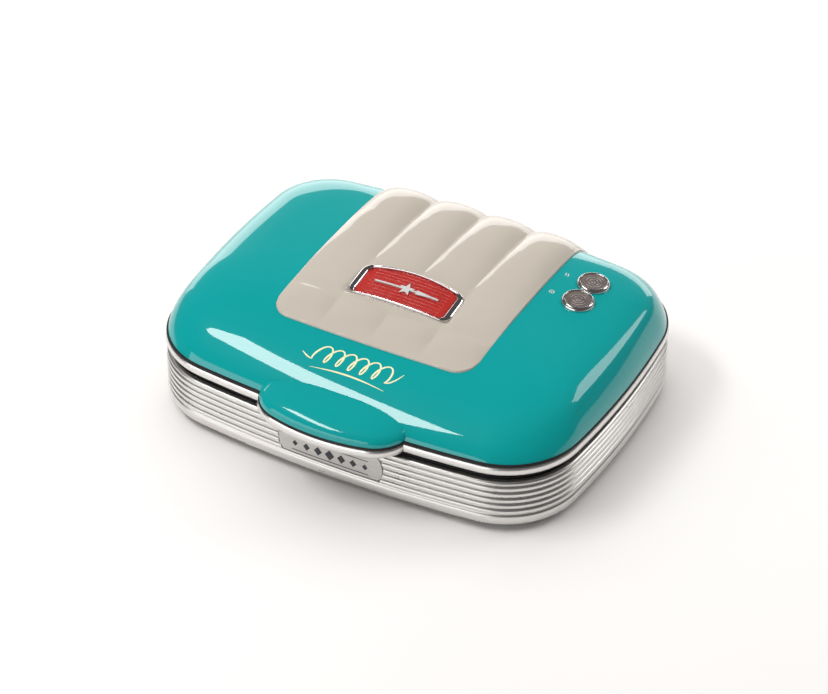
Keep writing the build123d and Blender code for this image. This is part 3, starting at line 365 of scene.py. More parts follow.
def lens(name, dark, light, roughness, scale, skin_gloss=0.8):
    """Tinted plastic over a dark back, with a clear skin."""
    material, shader, space = new_finish(name, roughness, coat=skin_gloss, coat_roughness=0.04, specular=0.25)
    vary_colour(material, shader, noise(material, space, scale, 3.0), dark, light)
    vary_roughness(material, shader, noise(material, space, 150.0), roughness * 0.8, roughness * 1.3)
    add_bump(material, shader, noise(material, space, 700.0), 0.1, 0.00002)
    return material


def coating(name):
    """Non-stick coating: dark, satin, with tiny pale speckles."""
    material, shader, space = new_finish(name, 0.42, metallic=0.25)
    speckle = noise(material, space, 2400.0, 1.0)
    vary_colour(material, shader, speckle, (0.016, 0.016, 0.017), (0.038, 0.037, 0.036))
    vary_roughness(material, shader, noise(material, space, 300.0, 3.0), 0.36, 0.5)
    add_bump(material, shader, noise(material, space, 1200.0, 3.0), 0.35, 0.00003)
    return material


chrome = polished("badge_chrome", (0.62, 0.60, 0.61), (0.72, 0.70, 0.71), 0.07)
emblem_chrome = metallic_paint("emblem_silver", (0.72, 0.74, 0.73), (0.84, 0.86, 0.85), 0.35, 0.45, 0.35)
red = lens("red_lens", (0.40, 0.016, 0.013), (0.48, 0.024, 0.018), 0.38, 45.0, 0.15)
smoke = lens("smoke_lens", (0.115, 0.09, 0.08), (0.175, 0.14, 0.128), 0.3, 260.0)
nonstick = coating("nonstick_coating")
ceramic = moulded("white_ceramic", (0.62, 0.59, 0.53), (0.70, 0.67, 0.61), 0.6, 700.0)
braid = moulded("wire_braid", (0.50, 0.47, 0.40), (0.60, 0.57, 0.50), 0.8, 2500.0, 0.0001)
laminate = moulded("board_laminate", (0.24, 0.15, 0.05), (0.32, 0.21, 0.08), 0.5, 600.0)
bulb = lens("lamp_glass", (0.75, 0.42, 0.22), (0.85, 0.52, 0.30), 0.12, 300.0)
print("small finishes ready:", chrome.name, red.name, smoke.name, nonstick.name)

# %% [markdown]
# Every piece of the frame now gets the finish of its slot. Most of them stay visible as they are: the trim,
# the name plate, the feet, the hinge, the emblem, and everything that shows when the lid opens.

# %% Finishes for the frame's own pieces
FINISHES = {
    "silver_paint": silver, "trim_silver": trim_silver, "brushed_silver": plate_steel, "teal_gloss": teal,
    "cream_gloss": cream, "chrome": chrome, "red_lens": red, "emblem_silver": emblem_chrome,
    "lens_brown": smoke, "black_plastic": black, "plate_coating": nonstick, "heater_steel": heater_steel,
    "sheet_steel": sheet_steel, "screw_steel": screw_steel, "rubber": rubber, "ceramic_white": ceramic,
    "wire_white": braid, "board_tan": laminate, "lamp_glass": bulb,
}
for part in frame["record"]["subparts"]:
    node = frame["nodes"][part["node"]]
    node.data.materials.clear()
    node.data.materials.append(FINISHES[part["material_slot"]])

# %% [markdown]
# Seen from above, base and lid share one outline: a rectangle with bowed sides and round corners, made of
# eight tangent arcs. One function gives its points for any size and inset, and everything that runs round
# the appliance is built on it, so neighbours fit without a step.

# %% The outline of one level
BODY_HALF_WIDTH = 125.0
BODY_HALF_DEPTH = 96.3
BODY_CORNER = 44.5
FRONT_BOW = 11.0
SIDE_BOW = 9.5
LOOP_FRONT = 26             # points on half of the front arc, on a corner and on half of a side arc
LOOP_CORNER = 22
LOOP_SIDE = 16


def outline_arcs(half_width, half_depth, corner):
    """Centres and radii of the front arc, the right side's arc and the corner between them."""
    bow = FRONT_BOW * (half_width / BODY_HALF_WIDTH) ** 2
    side_bow = SIDE_BOW * (half_depth / BODY_HALF_DEPTH) ** 2
    front_r = (half_width**2 + bow**2) / (2 * bow)
    side_r = (half_depth**2 + side_bow**2) / (2 * side_bow)
    front_c = Vector((0.0, front_r - half_depth))
    side_c = Vector((half_width - side_r, 0.0))
    gap = side_c - front_c
    reach_front, reach_side = front_r - corner, side_r - corner
    along = (reach_front**2 - reach_side**2 + gap.length_squared) / (2 * gap.length)
    across = math.sqrt(max(0.0, reach_front**2 - along**2))
    way = gap.normalized()
    sides = [front_c + way * along + Vector((-way.y, way.x)) * across * s for s in (1, -1)]
    return front_c, front_r, side_c, side_r, max(sides, key=lambda p: p.x - p.y)


def arc(centre, radius, start, end, count):
    """Points on an arc, without its last one. Angles in radians."""
    steps = [start + (end - start) * i / count for i in range(count)]
    return [(centre.x + radius * math.cos(a), centre.y + radius * math.sin(a)) for a in steps]


def outline_points(half_width, half_depth, corner, inset=0.0, shift=0.0):
    """The outline as a closed loop of points, anticlockwise from the middle of the front."""
    front_c, front_r, side_c, side_r, corner_c = outline_arcs(half_width, half_depth, corner)
    to_front = corner_c - front_c
    to_side = corner_c - side_c
    a_front = math.atan2(to_front.y, to_front.x)
    a_side = math.atan2(to_side.y, to_side.x)
    quarter = arc(front_c, front_r - inset, -math.pi / 2, a_front, LOOP_FRONT)
    quarter += arc(corner_c, corner - inset, a_front, a_side, LOOP_CORNER)
    quarter += arc(side_c, side_r - inset, a_side, 0.0, LOOP_SIDE)
    middle_right = (side_c.x + side_r - inset, 0.0)
    half = quarter + [middle_right] + [(x, -y) for x, y in reversed(quarter[1:])]
    back = (0.0, -quarter[0][1])
    whole = half + [back] + [(-x, y) for x, y in reversed(half[1:])]
    return [(x, y + shift) for x, y in whole]


print("points on one outline:", len(outline_points(BODY_HALF_WIDTH, BODY_HALF_DEPTH, BODY_CORNER)))

# %% [markdown]
# The base is one moulded wall with five round beads, sprayed silver. Its section is drawn once, as a line of
# points from the lip inside, over the rim and down the beads to the foot, and swept round the outline. The
# pocket for the name plate and the hole for the cord's grommet are then cut out of it.

# %% The ribbed base
BASE_TOP = 29.7
BEAD_FOOT = 8.1             # middle of the lowest groove
BEAD_PITCH = 3.78
BEADS = 5
BEAD_DEPTH = 1.0
GROOVE_HALF = 0.35
WALL_THICK = 3.6
PLATE_HALF = 31.8
PLATE_LOW = 9.6
PLATE_HIGH = 25.4
PLATE_BULGE = 2.6
PLATE_POCKET_FLOOR = -94.35
GLAND_Z = 15.5
GLAND_HOLE = 5.6
FOOT_ROUND_TOP = 4.6        # where the wall starts to round in towards the foot
LIP_LOW = 2.2
LIP_HIGH = 4.6
LIP_REACH = 10.8
SKIRT_THICK = 5.9


def base_section():
    """Points of the wall's section: how far inside the outline, and how high."""
    section = [(WALL_THICK, LIP_HIGH), (WALL_THICK, BASE_TOP)]
    for k in range(7):
        turn = math.pi / 2 * k / 6
        section.append((0.35 + 1.6 * (1 - math.sin(turn)), BASE_TOP - 1.35 * (1 - math.cos(turn))))
    for bead in range(BEADS, 0, -1):
        groove = BEAD_FOOT + bead * BEAD_PITCH
        section += [(BEAD_DEPTH, groove + GROOVE_HALF), (BEAD_DEPTH + 0.12, groove)]
        reach = BEAD_PITCH / 2 - GROOVE_HALF
        for k in range(11):
            t = 1 - 2 * k / 10
            section.append((BEAD_DEPTH * (1 - math.sqrt(1 - (0.995 * t) ** 2)),
                            groove - BEAD_PITCH / 2 + reach * t))
    section += [(BEAD_DEPTH, BEAD_FOOT + GROOVE_HALF), (BEAD_DEPTH + 0.12, BEAD_FOOT),
                (BEAD_DEPTH, BEAD_FOOT - GROOVE_HALF), (0.5, BEAD_FOOT - 0.8), (0.12, BEAD_FOOT - 1.4),
                (0.1, FOOT_ROUND_TOP)]
    for k in range(1, 8):
        turn = math.pi / 2 * k / 7
        section.append((0.1 + 3.5 * (1 - math.cos(turn)), FOOT_ROUND_TOP * (1 - math.sin(turn))))
    return section + [(SKIRT_THICK, 0.0), (SKIRT_THICK, LIP_LOW), (LIP_REACH, LIP_LOW), (LIP_REACH, LIP_HIGH)]


def cutter(name, outline, y0, y1):
    """A block with an outline in x and z, between two depths."""
    loops = [[(x, y, z) for x, z in outline] for y in (y0, y1)]
    cut_verts, cut_faces = skin(loops, closed_ends=(True, True))
    return outward(link_piece(name, cut_verts, cut_faces, stand, smooth=False))


def carve(obj, tool):
    """Cuts the tool's shape out of the piece and removes the tool."""
    cut = obj.modifiers.new("cut", "BOOLEAN")
    cut.operation = "DIFFERENCE"
    cut.solver = "EXACT"
    cut.object = tool
    settle(obj)
    bpy.data.objects.remove(tool)
    return obj


loops = [[(x, y, z) for x, y in outline_points(BODY_HALF_WIDTH, BODY_HALF_DEPTH, BODY_CORNER, inset)]
         for inset, z in base_section()]
verts, faces = skin(loops, joined=True)
base = outward(link_piece("ribbed_base", verts, faces, stand))
middle, reach = (PLATE_LOW + PLATE_HIGH) / 2, (PLATE_HIGH - PLATE_LOW) / 2
right_end = [(PLATE_HALF - PLATE_BULGE * (k / 8) ** 2, middle + reach * k / 8) for k in range(-8, 9)]
plate_outline = right_end + [(-x, z) for x, z in reversed(right_end)]
carve(base, cutter("plate_cut", plate_outline, -99.0, PLATE_POCKET_FLOOR))
hole = [(x, GLAND_Z + z) for x, z in arc(Vector((0.0, 0.0)), GLAND_HOLE, 0.0, 2 * math.pi, 48)]
carve(base, cutter("gland_cut", hole, 90.0, 100.0))
base.data.polygons.foreach_set("use_smooth", [True] * len(base.data.polygons))
place_piece(sharpen(base, 42), "base", "silver_paint", silver, "base_housing")

# %% [markdown]
# The lid is a pillow-like dome. Its levels have the same bowed outline as the base, and they shrink and move
# back as they rise, because the front slopes more than the back. A smooth curve through the few measured
# levels gives all those between, so the lacquer's reflections run without a kink.

# %% The lid's dome
# Each level: height, half width, front edge, back edge, corner radius.
LID_LEVELS = [
    (37.5, 124.3, -95.2, 95.2, 43.8),
    (43.0, 123.0, -91.4, 92.6, 42.5),
    (50.5, 119.5, -81.8, 87.5, 37.0),
    (56.5, 115.0, -69.5, 81.4, 32.5),
    (60.2, 108.0, -59.0, 76.4, 31.0),
    (63.0, 95.0, -46.0, 68.0, 31.0),
    (65.6, 62.0, -24.0, 47.0, 27.0),
]
LEVEL_STEPS = 7
CROWN_RISE = 0.7
CROWN_STEPS = 12
LID_FOOT = 1.2              # the lid's edge stands this far above the trim
LID_SKIN = 2.4
SINK_HALF = 56.0            # the dome is let down inside this plan, where the panel hides it
SINK_FRONT = -50.0
SINK_BACK = 78.0
SINK_DEPTH = 1.7
SINK_RUN = 7.0


def smooth_value(values, place):
    """Monotone cubic through equally spaced values, read at a fractional place."""
    rises = [b - a for a, b in zip(values, values[1:])]
    slopes = [rises[0]]
    for before, after in zip(rises, rises[1:]):
        slopes.append(2 * before * after / (before + after) if before * after > 0 else 0.0)
    slopes.append(rises[-1])
    i = min(int(place), len(rises) - 1)
    t = place - i
    return (
        values[i] * (1 + 2 * t) * (1 - t) ** 2 + slopes[i] * t * (1 - t) ** 2
        + values[i + 1] * t * t * (3 - 2 * t) + slopes[i + 1] * t * t * (t - 1)
    )


def level_loop(place, inset=0.0, drop=0.0):
    """The lid's outline at a fractional place in the list of levels."""
    z, half_width, front, back, corner = [smooth_value(column, place) for column in zip(*LID_LEVELS)]
    loop = outline_points(half_width, (back - front) / 2, corner, inset, (back + front) / 2)
    return [(x, y, z - drop) for x, y in loop]


def dome_loops(inset=0.0, drop_to=0.0):
    """Loops from the lid's edge to its crown. drop_to lowers the crown for the inner face."""
    last = len(LID_LEVELS) - 1
    foot = LID_FOOT / (LID_LEVELS[1][0] - LID_LEVELS[0][0])
    places = [foot] + [i / LEVEL_STEPS for i in range(1, last * LEVEL_STEPS + 1) if i / LEVEL_STEPS > foot]
    loops = [level_loop(p, inset, drop_to * p / last) for p in places]
    rim = loops[-1]
    cy = (LID_LEVELS[-1][2] + LID_LEVELS[-1][3]) / 2
    for k in range(1, CROWN_STEPS):
        s = 1 - k / CROWN_STEPS
        rise = CROWN_RISE * (1 - s * s)
        loops.append([(x * s, cy + (y - cy) * s, z + rise) for x, y, z in rim])
    return loops


def under_panel(x, y):
    """How far the dome is let down under the cream panel, out of sight."""
    inside = min(SINK_HALF - abs(x), y - SINK_FRONT, SINK_BACK - y)
    return SINK_DEPTH * max(0.0, min(1.0, inside / SINK_RUN))


outer = dome_loops()
inner = dome_loops(LID_SKIN, LID_SKIN)
shown = [[(x, y, z - under_panel(x, y)) for x, y, z in loop] for loop in outer]
verts, faces = skin(list(reversed(inner)) + shown, closed_ends=(True, True))
dome = outward(link_piece("lid_dome", verts, faces, seat))
dome_verts, dome_faces = skin(outer, closed_ends=(False, True))
dome_tree = BVHTree.FromPolygons([Vector(v) for v in dome_verts], dome_faces)
place_piece(sharpen(dome, 50), "lid", "teal_gloss", teal, "lid_cover")


def lid_top(x, y):
    """Height and normal of the dome above a point, with the lid drawn closed flat."""
    hit, normal, _, _ = dome_tree.ray_cast(Vector((x, y, 200.0)), Vector((0, 0, -1)))
    if hit is None:
        return LID_LEVELS[0][0], Vector((0, 0, 1))
    return hit.z, normal if normal.z > 0 else -normal


print("height of the dome over the badge and over the lights:",
      round(lid_top(0, -13)[0], 2), round(lid_top(81.8, 36)[0], 2))

# %% [markdown]
# The handle is a flattened lens that grows out of the front edge. On the real moulding it is one piece with
# the lid. A loop of points round its plan, shrunk step by step towards a middle that lies inside the dome,
# gives the lens; where the two surfaces cut, the crease of the real lid appears by itself.

# %% The handle
HANDLE_FRONT_Y = -112.8
HANDLE_RADIUS = 108.0
HANDLE_CORNER = 22.3
HANDLE_CORNER_X = 22.6
HANDLE_MIDDLE = (0.0, -86.0)
HANDLE_FOOT = 38.7
HANDLE_RISE = 9.6
HANDLE_STEPS = 18


def handle_loop(inset):
    """Plan of the handle: a bowed front, round corners, straight sides running back under the dome."""
    centre = Vector((0.0, HANDLE_FRONT_Y + HANDLE_RADIUS))
    reach = HANDLE_RADIUS - HANDLE_CORNER
    corner = Vector((HANDLE_CORNER_X, centre.y - math.sqrt(reach**2 - HANDLE_CORNER_X**2)))
    way = corner - centre
    a = math.atan2(way.y, way.x)
    half = arc(centre, HANDLE_RADIUS - inset, -math.pi / 2, a, 16)
    half += arc(corner, HANDLE_CORNER - inset, a, 0.0, 18)
    side = corner.x + HANDLE_CORNER - inset
    half += [(side, corner.y), (side, corner.y + 4), (side * 0.7, corner.y + 8)]
    return half + [(0.0, corner.y + 9)] + [(-x, y) for x, y in reversed(half[1:])]


def handle_lens():
    """Loops of the lens, from its foot to its top."""
    plan = handle_loop(1.1)
    mx, my = HANDLE_MIDDLE
    loops = [[(x, y, HANDLE_FOOT) for x, y in plan]]
    for k in range(1, HANDLE_STEPS):
        turn = math.pi / 2 * k / HANDLE_STEPS
        s = math.cos(turn) ** 0.75
        z = HANDLE_FOOT + HANDLE_RISE * math.sin(turn) ** 0.8
        loops.append([(mx + (x - mx) * s, my + (y - my) * s, z) for x, y in plan])
    return loops


verts, faces = skin(handle_lens(), closed_ends=(True, True))
handle = outward(link_piece("lid_handle", verts, faces, seat))
place_piece(sharpen(handle, 50), "lid", "teal_gloss", teal)

# %% [markdown]
# Between the lacquered lid and the silver trim lies a narrow gap. Its shade is painted as a dark ring, a thin
# black line all the way round the lid and out round the handle. A small rounded section swept along the same
# outlines makes it.

# %% The painted shade in the gap under the lid
GAP_SHADE_LOW = 37.3
GAP_SHADE_HIGH = 38.9


def painted_gap_ring(name, loop_at):
    """A thin dark ring between two heights, along an outline: painted shade of the gap."""
    section = [(3.2, GAP_SHADE_LOW), (0.75, GAP_SHADE_LOW), (0.55, GAP_SHADE_LOW + 0.3), (0.6, GAP_SHADE_HIGH - 0.3),
               (0.9, GAP_SHADE_HIGH), (3.2, GAP_SHADE_HIGH)]
    loops = [[(x, y, z) for x, y in loop_at(inset)] for inset, z in section]
    ring_verts, ring_faces = skin(loops, joined=True)
    return sharpen(outward(link_piece(name, ring_verts, ring_faces, seat)), 60)


# Dark rings painted as the shade in the gap between lid and trim, and round the handle.
body_gap_shade = painted_gap_ring("rim_gap_shade", lambda inset: outline_points(BODY_HALF_WIDTH, BODY_HALF_DEPTH, BODY_CORNER, inset))
handle_gap_shade = painted_gap_ring("handle_gap_shade", handle_loop)
place_piece(body_gap_shade, "lid", "black_plastic", painted_gap_shade)
place_piece(handle_gap_shade, "lid", "black_plastic", painted_gap_shade)

# %% [markdown]
# The cream panel is the showpiece of the lid: four flutes that swell towards the back like the hood of an
# old car, a sloping ledge that carries the badge, and four soft pillows in front of it. All of it is one
# surface over the dome, so a height for every point of its plan describes it. The valleys stay sharp
# because the grid has a line of points exactly along each of them.

# %% The plan of the fluted panel
PANEL_HALF = 59.8
PANEL_FRONT = -54.5
PANEL_FRONT_BOW = 1.5
PANEL_BACK = 83.0
PANEL_CORNER = 11.0
FLUTES = 4
FLUTE_COLUMNS = 24          # grid columns across one flute
PANEL_ROWS = 150
FLUTE_RISE = [(-56.0, 0.5), (-40.0, 1.0), (-20.0, 1.0), (-2.0, 1.5), (22.0, 2.6), (42.0, 3.6), (58.0, 4.1),
              (70.0, 3.9), (84.0, 3.0)]
PILLOW_RISE = [(-56.0, 0.0), (-50.0, 0.6), (-42.0, 1.9), (-35.0, 1.8), (-27.0, 0.1)]
FLUTE_SHARE = [(-30.0, 0.0), (-22.0, 1.0)]          # pillows in front, flutes behind
PANEL_STAND = [(-56.0, 1.0), (-44.0, 0.4), (-26.0, 0.3), (-4.0, 0.9), (10.0, 1.1)]
CROWN_FLATNESS = 2.7


def between(stations, place):
    """Smoothly interpolated value from (place, value) pairs."""
    if place <= stations[0][0]:
        return stations[0][1]
    for (a, low), (b, high) in zip(stations, stations[1:]):
        if place <= b:
            t = (place - a) / (b - a)
            return low + (high - low) * t * t * (3 - 2 * t)
    return stations[-1][1]


def panel_plan(across, along):
    """Plan position of a grid point: across from -1 to 1, along from 0 at the front to 1 at the back."""
    x = PANEL_HALF * across
    front = PANEL_FRONT - PANEL_FRONT_BOW * (1 - across * across)
    edge = abs(x) - (PANEL_HALF - PANEL_CORNER)
    if edge > 0:
        front += PANEL_CORNER - math.sqrt(max(0.0, PANEL_CORNER**2 - edge**2))
    return x, front + (PANEL_BACK - front) * along


# %% The badge's seat in numbers
BADGE_Y = -12.8
BADGE_Z = 68.4
BADGE_TILT = math.radians(8.0)
BADGE_BARREL = 241.0
BADGE_OUTER = (31.0, -12.6, 9.4, 12.9, 6.0)
BADGE_INNER = (26.6, -11.5, 8.5, 11.8, 3.4)


def badge_point(x, y, h):
    """A point over the badge's crowned face, in the lid's millimetres."""
    z = math.sqrt((BADGE_BARREL + h) ** 2 - x * x) - BADGE_BARREL
    c, s = math.cos(BADGE_TILT), math.sin(BADGE_TILT)
    return x, BADGE_Y + y * c - z * s, BADGE_Z + y * s + z * c


# %% [markdown]
# The height itself is the dome's, plus the panel's thickness, plus the flutes. The ledge is a tilted plane
# that starts just under the badge and falls forward; taking the higher of ledge and pillows draws the
# scalloped line where they meet.

# %% The fluted panel
LEDGE_SLOPE = math.tan(math.radians(12.5))
LEDGE_SIDE_SLOPE = 0.55
LEDGE_BACK_SLOPE = 0.4
LEDGE_HALF = 31.5
POCKET_DEPTH = 1.5          # how far the panel sinks under the badge
LIP_ROUND = 1.4             # radius of the panel's rounded edge


def flute_height(x, y):
    """Rise of the flutes or pillows over the panel's plain surface."""
    width = 2 * PANEL_HALF / FLUTES
    u = ((x + PANEL_HALF) / width) % 1.0 * 2 - 1
    arch = 1 - abs(u) ** CROWN_FLATNESS
    share = between(FLUTE_SHARE, y)
    return between(FLUTE_RISE, y) * arch * share + between(PILLOW_RISE, y) * arch * (1 - share)


def ledge_height(x, y):
    """The plane that falls forward and sideways from the badge."""
    _, edge_y, edge_z = badge_point(min(abs(x), 30.0), BADGE_OUTER[1], 0.0)
    side = max(0.0, abs(x) - LEDGE_HALF)
    behind = max(0.0, y - edge_y)
    fall = (edge_y - min(y, edge_y)) * LEDGE_SLOPE + side * LEDGE_SIDE_SLOPE + behind * LEDGE_BACK_SLOPE
    return edge_z - 0.1 - fall


def badge_limit(x, y):
    """Highest that the panel may stand here, so that it makes a shallow pocket for the badge."""
    by = (y - BADGE_Y) / math.cos(BADGE_TILT)
    half, low, shoulder, crest, _ = BADGE_OUTER
    face = BADGE_Z + (y - BADGE_Y) * math.tan(BADGE_TILT) - min(abs(x), half + 3.0) ** 2 / (2 * BADGE_BARREL)
    arch_top = crest - (crest - shoulder) * min(1.0, (x / half) ** 2)
    inside = min(half - abs(x), by - low, arch_top - by)
    sunk = between([(0.2, 0.0), (1.2, 1.0)], inside)
    return face + 0.25 - POCKET_DEPTH * sunk + 0.9 * max(0.0, -inside - 0.3)


def soft_max(a, b, radius=0.25):
    """The larger of two heights, with the crease rounded a little."""
    return (a + b + math.sqrt((a - b) ** 2 + radius**2)) / 2


def panel_top(x, y):
    """Height of the panel above a point of its plan."""
    plain = lid_top(x, y)[0] + between(PANEL_STAND, y)
    return min(soft_max(plain + flute_height(x, y), ledge_height(x, y)), badge_limit(x, y))


def panel_grid():
    """Rows of points from the front edge to the back edge."""
    columns = FLUTES * FLUTE_COLUMNS
    rows = []
    for j in range(PANEL_ROWS + 1):
        row = []
        for i in range(columns + 1):
            x, y = panel_plan(2 * i / columns - 1, j / PANEL_ROWS)
            row.append((x, y, panel_top(x, y)))
        rows.append(row)
    return rows


def relax_rows(rows, passes):
    """Evens out heights along each column, which removes the dome's facets but keeps the valleys."""
    for _ in range(passes):
        rows = [rows[0]] + [
            [(x, y, (rows[j - 1][i][2] + 2 * z + rows[j + 1][i][2]) / 4) for i, (x, y, z) in enumerate(rows[j])]
            for j in range(1, len(rows) - 1)
        ] + [rows[-1]]
    return rows


def edge_loops(rows):
    """Loops that turn the grid's edge over in a small radius and down to the dome."""
    rim = [p for p in rows[0]] + [r[-1] for r in rows[1:]] + list(reversed(rows[-1][:-1]))
    rim += [r[0] for r in reversed(rows[1:-1])]
    count = len(rim)
    normals = []
    for i in range(count):
        a, b = rim[i - 1], rim[(i + 1) % count]
        way = Vector((b[0] - a[0], b[1] - a[1]))
        way.normalize()
        normals.append((way.y, -way.x))
    loops = [rim]
    for k in range(1, 6):
        turn = math.pi / 2 * k / 5
        out, down = LIP_ROUND * 0.45 * math.sin(turn), LIP_ROUND * (1 - math.cos(turn))
        loops.append([(x + nx * out, y + ny * out, z - down) for (x, y, z), (nx, ny) in zip(rim, normals)])
    foot = [(x, y, min(z, lid_top(x, y)[0] - 0.6)) for x, y, z in loops[-1]]
    return loops + [foot]


rows = relax_rows(panel_grid(), 3)
width = len(rows[0])
verts = [p for row in rows for p in row]
faces = grid_faces(width, len(rows) - 1)
loops = edge_loops(rows)
start = len(verts)
skirt_verts, skirt_faces = skin(loops, closed_ends=(False, True))
verts += skirt_verts
faces += [tuple(start + v for v in face) for face in skirt_faces]
panel = link_piece("fluted_panel", verts, faces, seat)
bm = bmesh.new()
bm.from_mesh(panel.data)
bmesh.ops.remove_doubles(bm, verts=bm.verts, dist=0.00001)
bmesh.ops.recalc_face_normals(bm, faces=bm.faces)
bm.to_mesh(panel.data)
bm.free()
place_piece(sharpen(panel, 34), "lid", "cream_gloss", cream, "top_panel")

# %% [markdown]
# The badge has three layers: a chrome frame, wide at its ends and thin above and below, a red lens with
# fine lengthwise grooves, and a raised plain emblem. The frame is a skin over loops that go from the outer
# outline to the inner one while their height rises and falls like a half round.

# %% The badge's frame


def badge_loop(share, height, count=10):
    """A loop between the badge's outer outline (share 0) and its inner one (share 1)."""
    half, low, shoulder, crest, corner = [a + (b - a) * share for a, b in zip(BADGE_OUTER, BADGE_INNER)]
    rise = crest - shoulder
    arch = (half**2 + rise**2) / (2 * rise)
    points = [(half * (2 * i / count - 1) * (half - corner) / half, low) for i in range(count)]
    points += arc(Vector((half - corner, low + corner)), corner, -math.pi / 2, 0.0, count)
    points += [(half, low + corner + (shoulder - low - 2 * corner) * i / count) for i in range(count)]
    top = [(x, crest - arch + math.sqrt(arch**2 - x * x))
           for x in [(half - corner) * (1 - 2 * i / (3 * count)) for i in range(3 * count + 1)]]
    centre = Vector((half - corner, top[0][1] - corner))
    points += arc(centre, corner, 0.0, math.pi / 2, count)
    points += top
    left = [(-x, y) for x, y in reversed(points[count:4 * count])]
    points += left
    return [badge_point(x, y, height) for x, y in points]


FRAME_SECTION = [(0.0, -3.4), (0.0, -0.3), (0.04, 0.3), (0.14, 0.75), (0.32, 1.1), (0.52, 1.2), (0.72, 1.0),
                 (0.88, 0.55), (0.97, 0.05), (1.0, -0.5), (1.0, -1.6)]
verts, faces = skin([badge_loop(share, height) for share, height in FRAME_SECTION], closed_ends=(True, False))
badge_frame = outward(link_piece("badge_frame", verts, faces, seat))
place_piece(sharpen(badge_frame, 50), "lid", "chrome", chrome, "badge_bezel")

# %% The red lens and the emblem
LENS_ROWS = 110
LENS_COLUMNS = 72
LENS_GROOVES = 10
GROOVE_DEPTH = 0.40
END_RIB_X = 23.2


def lens_half(y):
    """Half width of the badge's inner outline at a height, with its round corners."""
    half, low, shoulder, crest, corner = BADGE_INNER
    from_end = min(y - low, shoulder + 1.2 - y)
    if from_end >= corner:
        return half
    d = corner - max(0.0, from_end)
    return half - corner + math.sqrt(max(0.0, corner**2 - d * d))


def lens_height(x, y, half_here, top):
    """Grooves along the lens, fading into a plain border, and an upright rib near each end."""
    low = BADGE_INNER[1]
    border = min(1.0, (half_here - abs(x)) / 1.6, (y - low) / 0.8 + 0.2, (top - y) / 0.8 + 0.2)
    wave = math.cos(2 * math.pi * LENS_GROOVES * (y - low) / (BADGE_INNER[3] - low))
    rib = math.exp(-((abs(x) - END_RIB_X) / 0.35) ** 2)
    groove = 0.0 if abs(x) > END_RIB_X else min(1.0, (END_RIB_X - abs(x)) / 0.8)
    grooves = GROOVE_DEPTH * groove * max(0.0, -wave) ** 0.7
    return -0.02 - grooves + 0.22 * rib - 0.5 * (1 - max(0.0, border)) ** 2


rise = BADGE_INNER[3] - BADGE_INNER[2]
arch = (BADGE_INNER[0] ** 2 + rise**2) / (2 * rise)
verts = []
for j in range(LENS_ROWS + 1):
    for i in range(LENS_COLUMNS + 1):
        t = j / LENS_ROWS
        side = 2 * i / LENS_COLUMNS - 1
        level = BADGE_INNER[1] + t * (BADGE_INNER[2] - BADGE_INNER[1] + 1.2)
        half_here = lens_half(level)
        x = half_here * side
        crest = BADGE_INNER[3] - arch + math.sqrt(arch**2 - x * x)
        y = BADGE_INNER[1] + t * (crest - BADGE_INNER[1])
        verts.append(badge_point(x, y, lens_height(x, y, half_here, crest)))
faces = grid_faces(LENS_COLUMNS + 1, LENS_ROWS)
red_lens = link_piece("badge_red_lens", verts, faces, seat)
place_piece(red_lens, "lid", "red_lens", red, "badge_lens")

# %% [markdown]
# The pilot lights are turned parts: one section line spun round an axis that stands square to the lid. The
# silver ring is a bevel with a soft crest, and the smoky lens has rings like a ripple, which scatter the
# lamp's light.

# %% The pilot lights
LIGHT_X = 81.8
LIGHTS = {"power": 27.0, "ready": 45.4}
SPIN_STEPS = 96
RING_SECTION = [(6.4, -3.0), (9.05, -1.2), (9.1, 0.35), (9.0, 0.8), (8.75, 1.3), (8.35, 1.8), (7.95, 2.15),
                (7.6, 2.28), (7.35, 2.2), (7.2, 1.95), (7.15, 1.2), (6.4, 1.0)]


def spin(section, centre, normal):
    """Loops of a turned part about an axis through centre."""
    side = normal.cross(Vector((0, 1, 0))).normalized()
    fore = side.cross(normal)
    loops = []
    for r, h in section:
        loop = []
        for i in range(SPIN_STEPS):
            a = 2 * math.pi * i / SPIN_STEPS
            loop.append(tuple(centre + side * (r * math.cos(a)) + fore * (r * math.sin(a)) + normal * h))
        loops.append(loop)
    return loops


def lens_section():
    """Section of the rippled lens, from its middle outward."""
    section = []
    for i in range(1, 60):
        r = 7.15 * i / 59
        ripple = 0.11 * math.cos(2 * math.pi * r / 1.75) * (1 - (r / 7.15) ** 4)
        section.append((r, 1.9 - 0.25 * (r / 7.15) ** 2 + ripple))
    return section


for name, y in LIGHTS.items():
    z, normal = lid_top(LIGHT_X, y)
    centre = Vector((LIGHT_X, y, z))
    verts, faces = skin(spin(RING_SECTION, centre, normal), joined=True)
    ring = sharpen(outward(link_piece(name + "_ring", verts, faces, seat)), 50)
    place_piece(ring, "lid", "brushed_silver", light_steel, name + "_light_bezel")
    verts, faces = skin(spin(lens_section() + [(7.0, 0.6)], centre, normal), closed_ends=(True, True))
    cap = outward(link_piece(name + "_ripple_lens", verts, faces, seat))
    place_piece(cap, "lid", "lens_brown", smoke, name + "_light_lens")

# %% [markdown]
# Small printed marks lie on the lacquer: a pale sign beside each pilot light, and a cream flourish on the
# front slope. They carry no words. Each is a flat strip or polygon dropped onto the dome and lifted by a
# few hundredths of a millimetre, which is what a pad print is.

# %% Printed marks
INK_LIFT = 0.06
cream_ink = lacquer("cream_ink", (0.86, 0.84, 0.50), (0.92, 0.90, 0.58), 0.4, 0.6, 0.05)
pale_ink = lacquer("pale_ink", (0.56, 0.62, 0.60), (0.66, 0.72, 0.70), 0.4, 0.6, 0.05)


def on_dome(x, y):
    """A point of print on the lacquer."""
    return x, y, lid_top(x, y)[0] + INK_LIFT


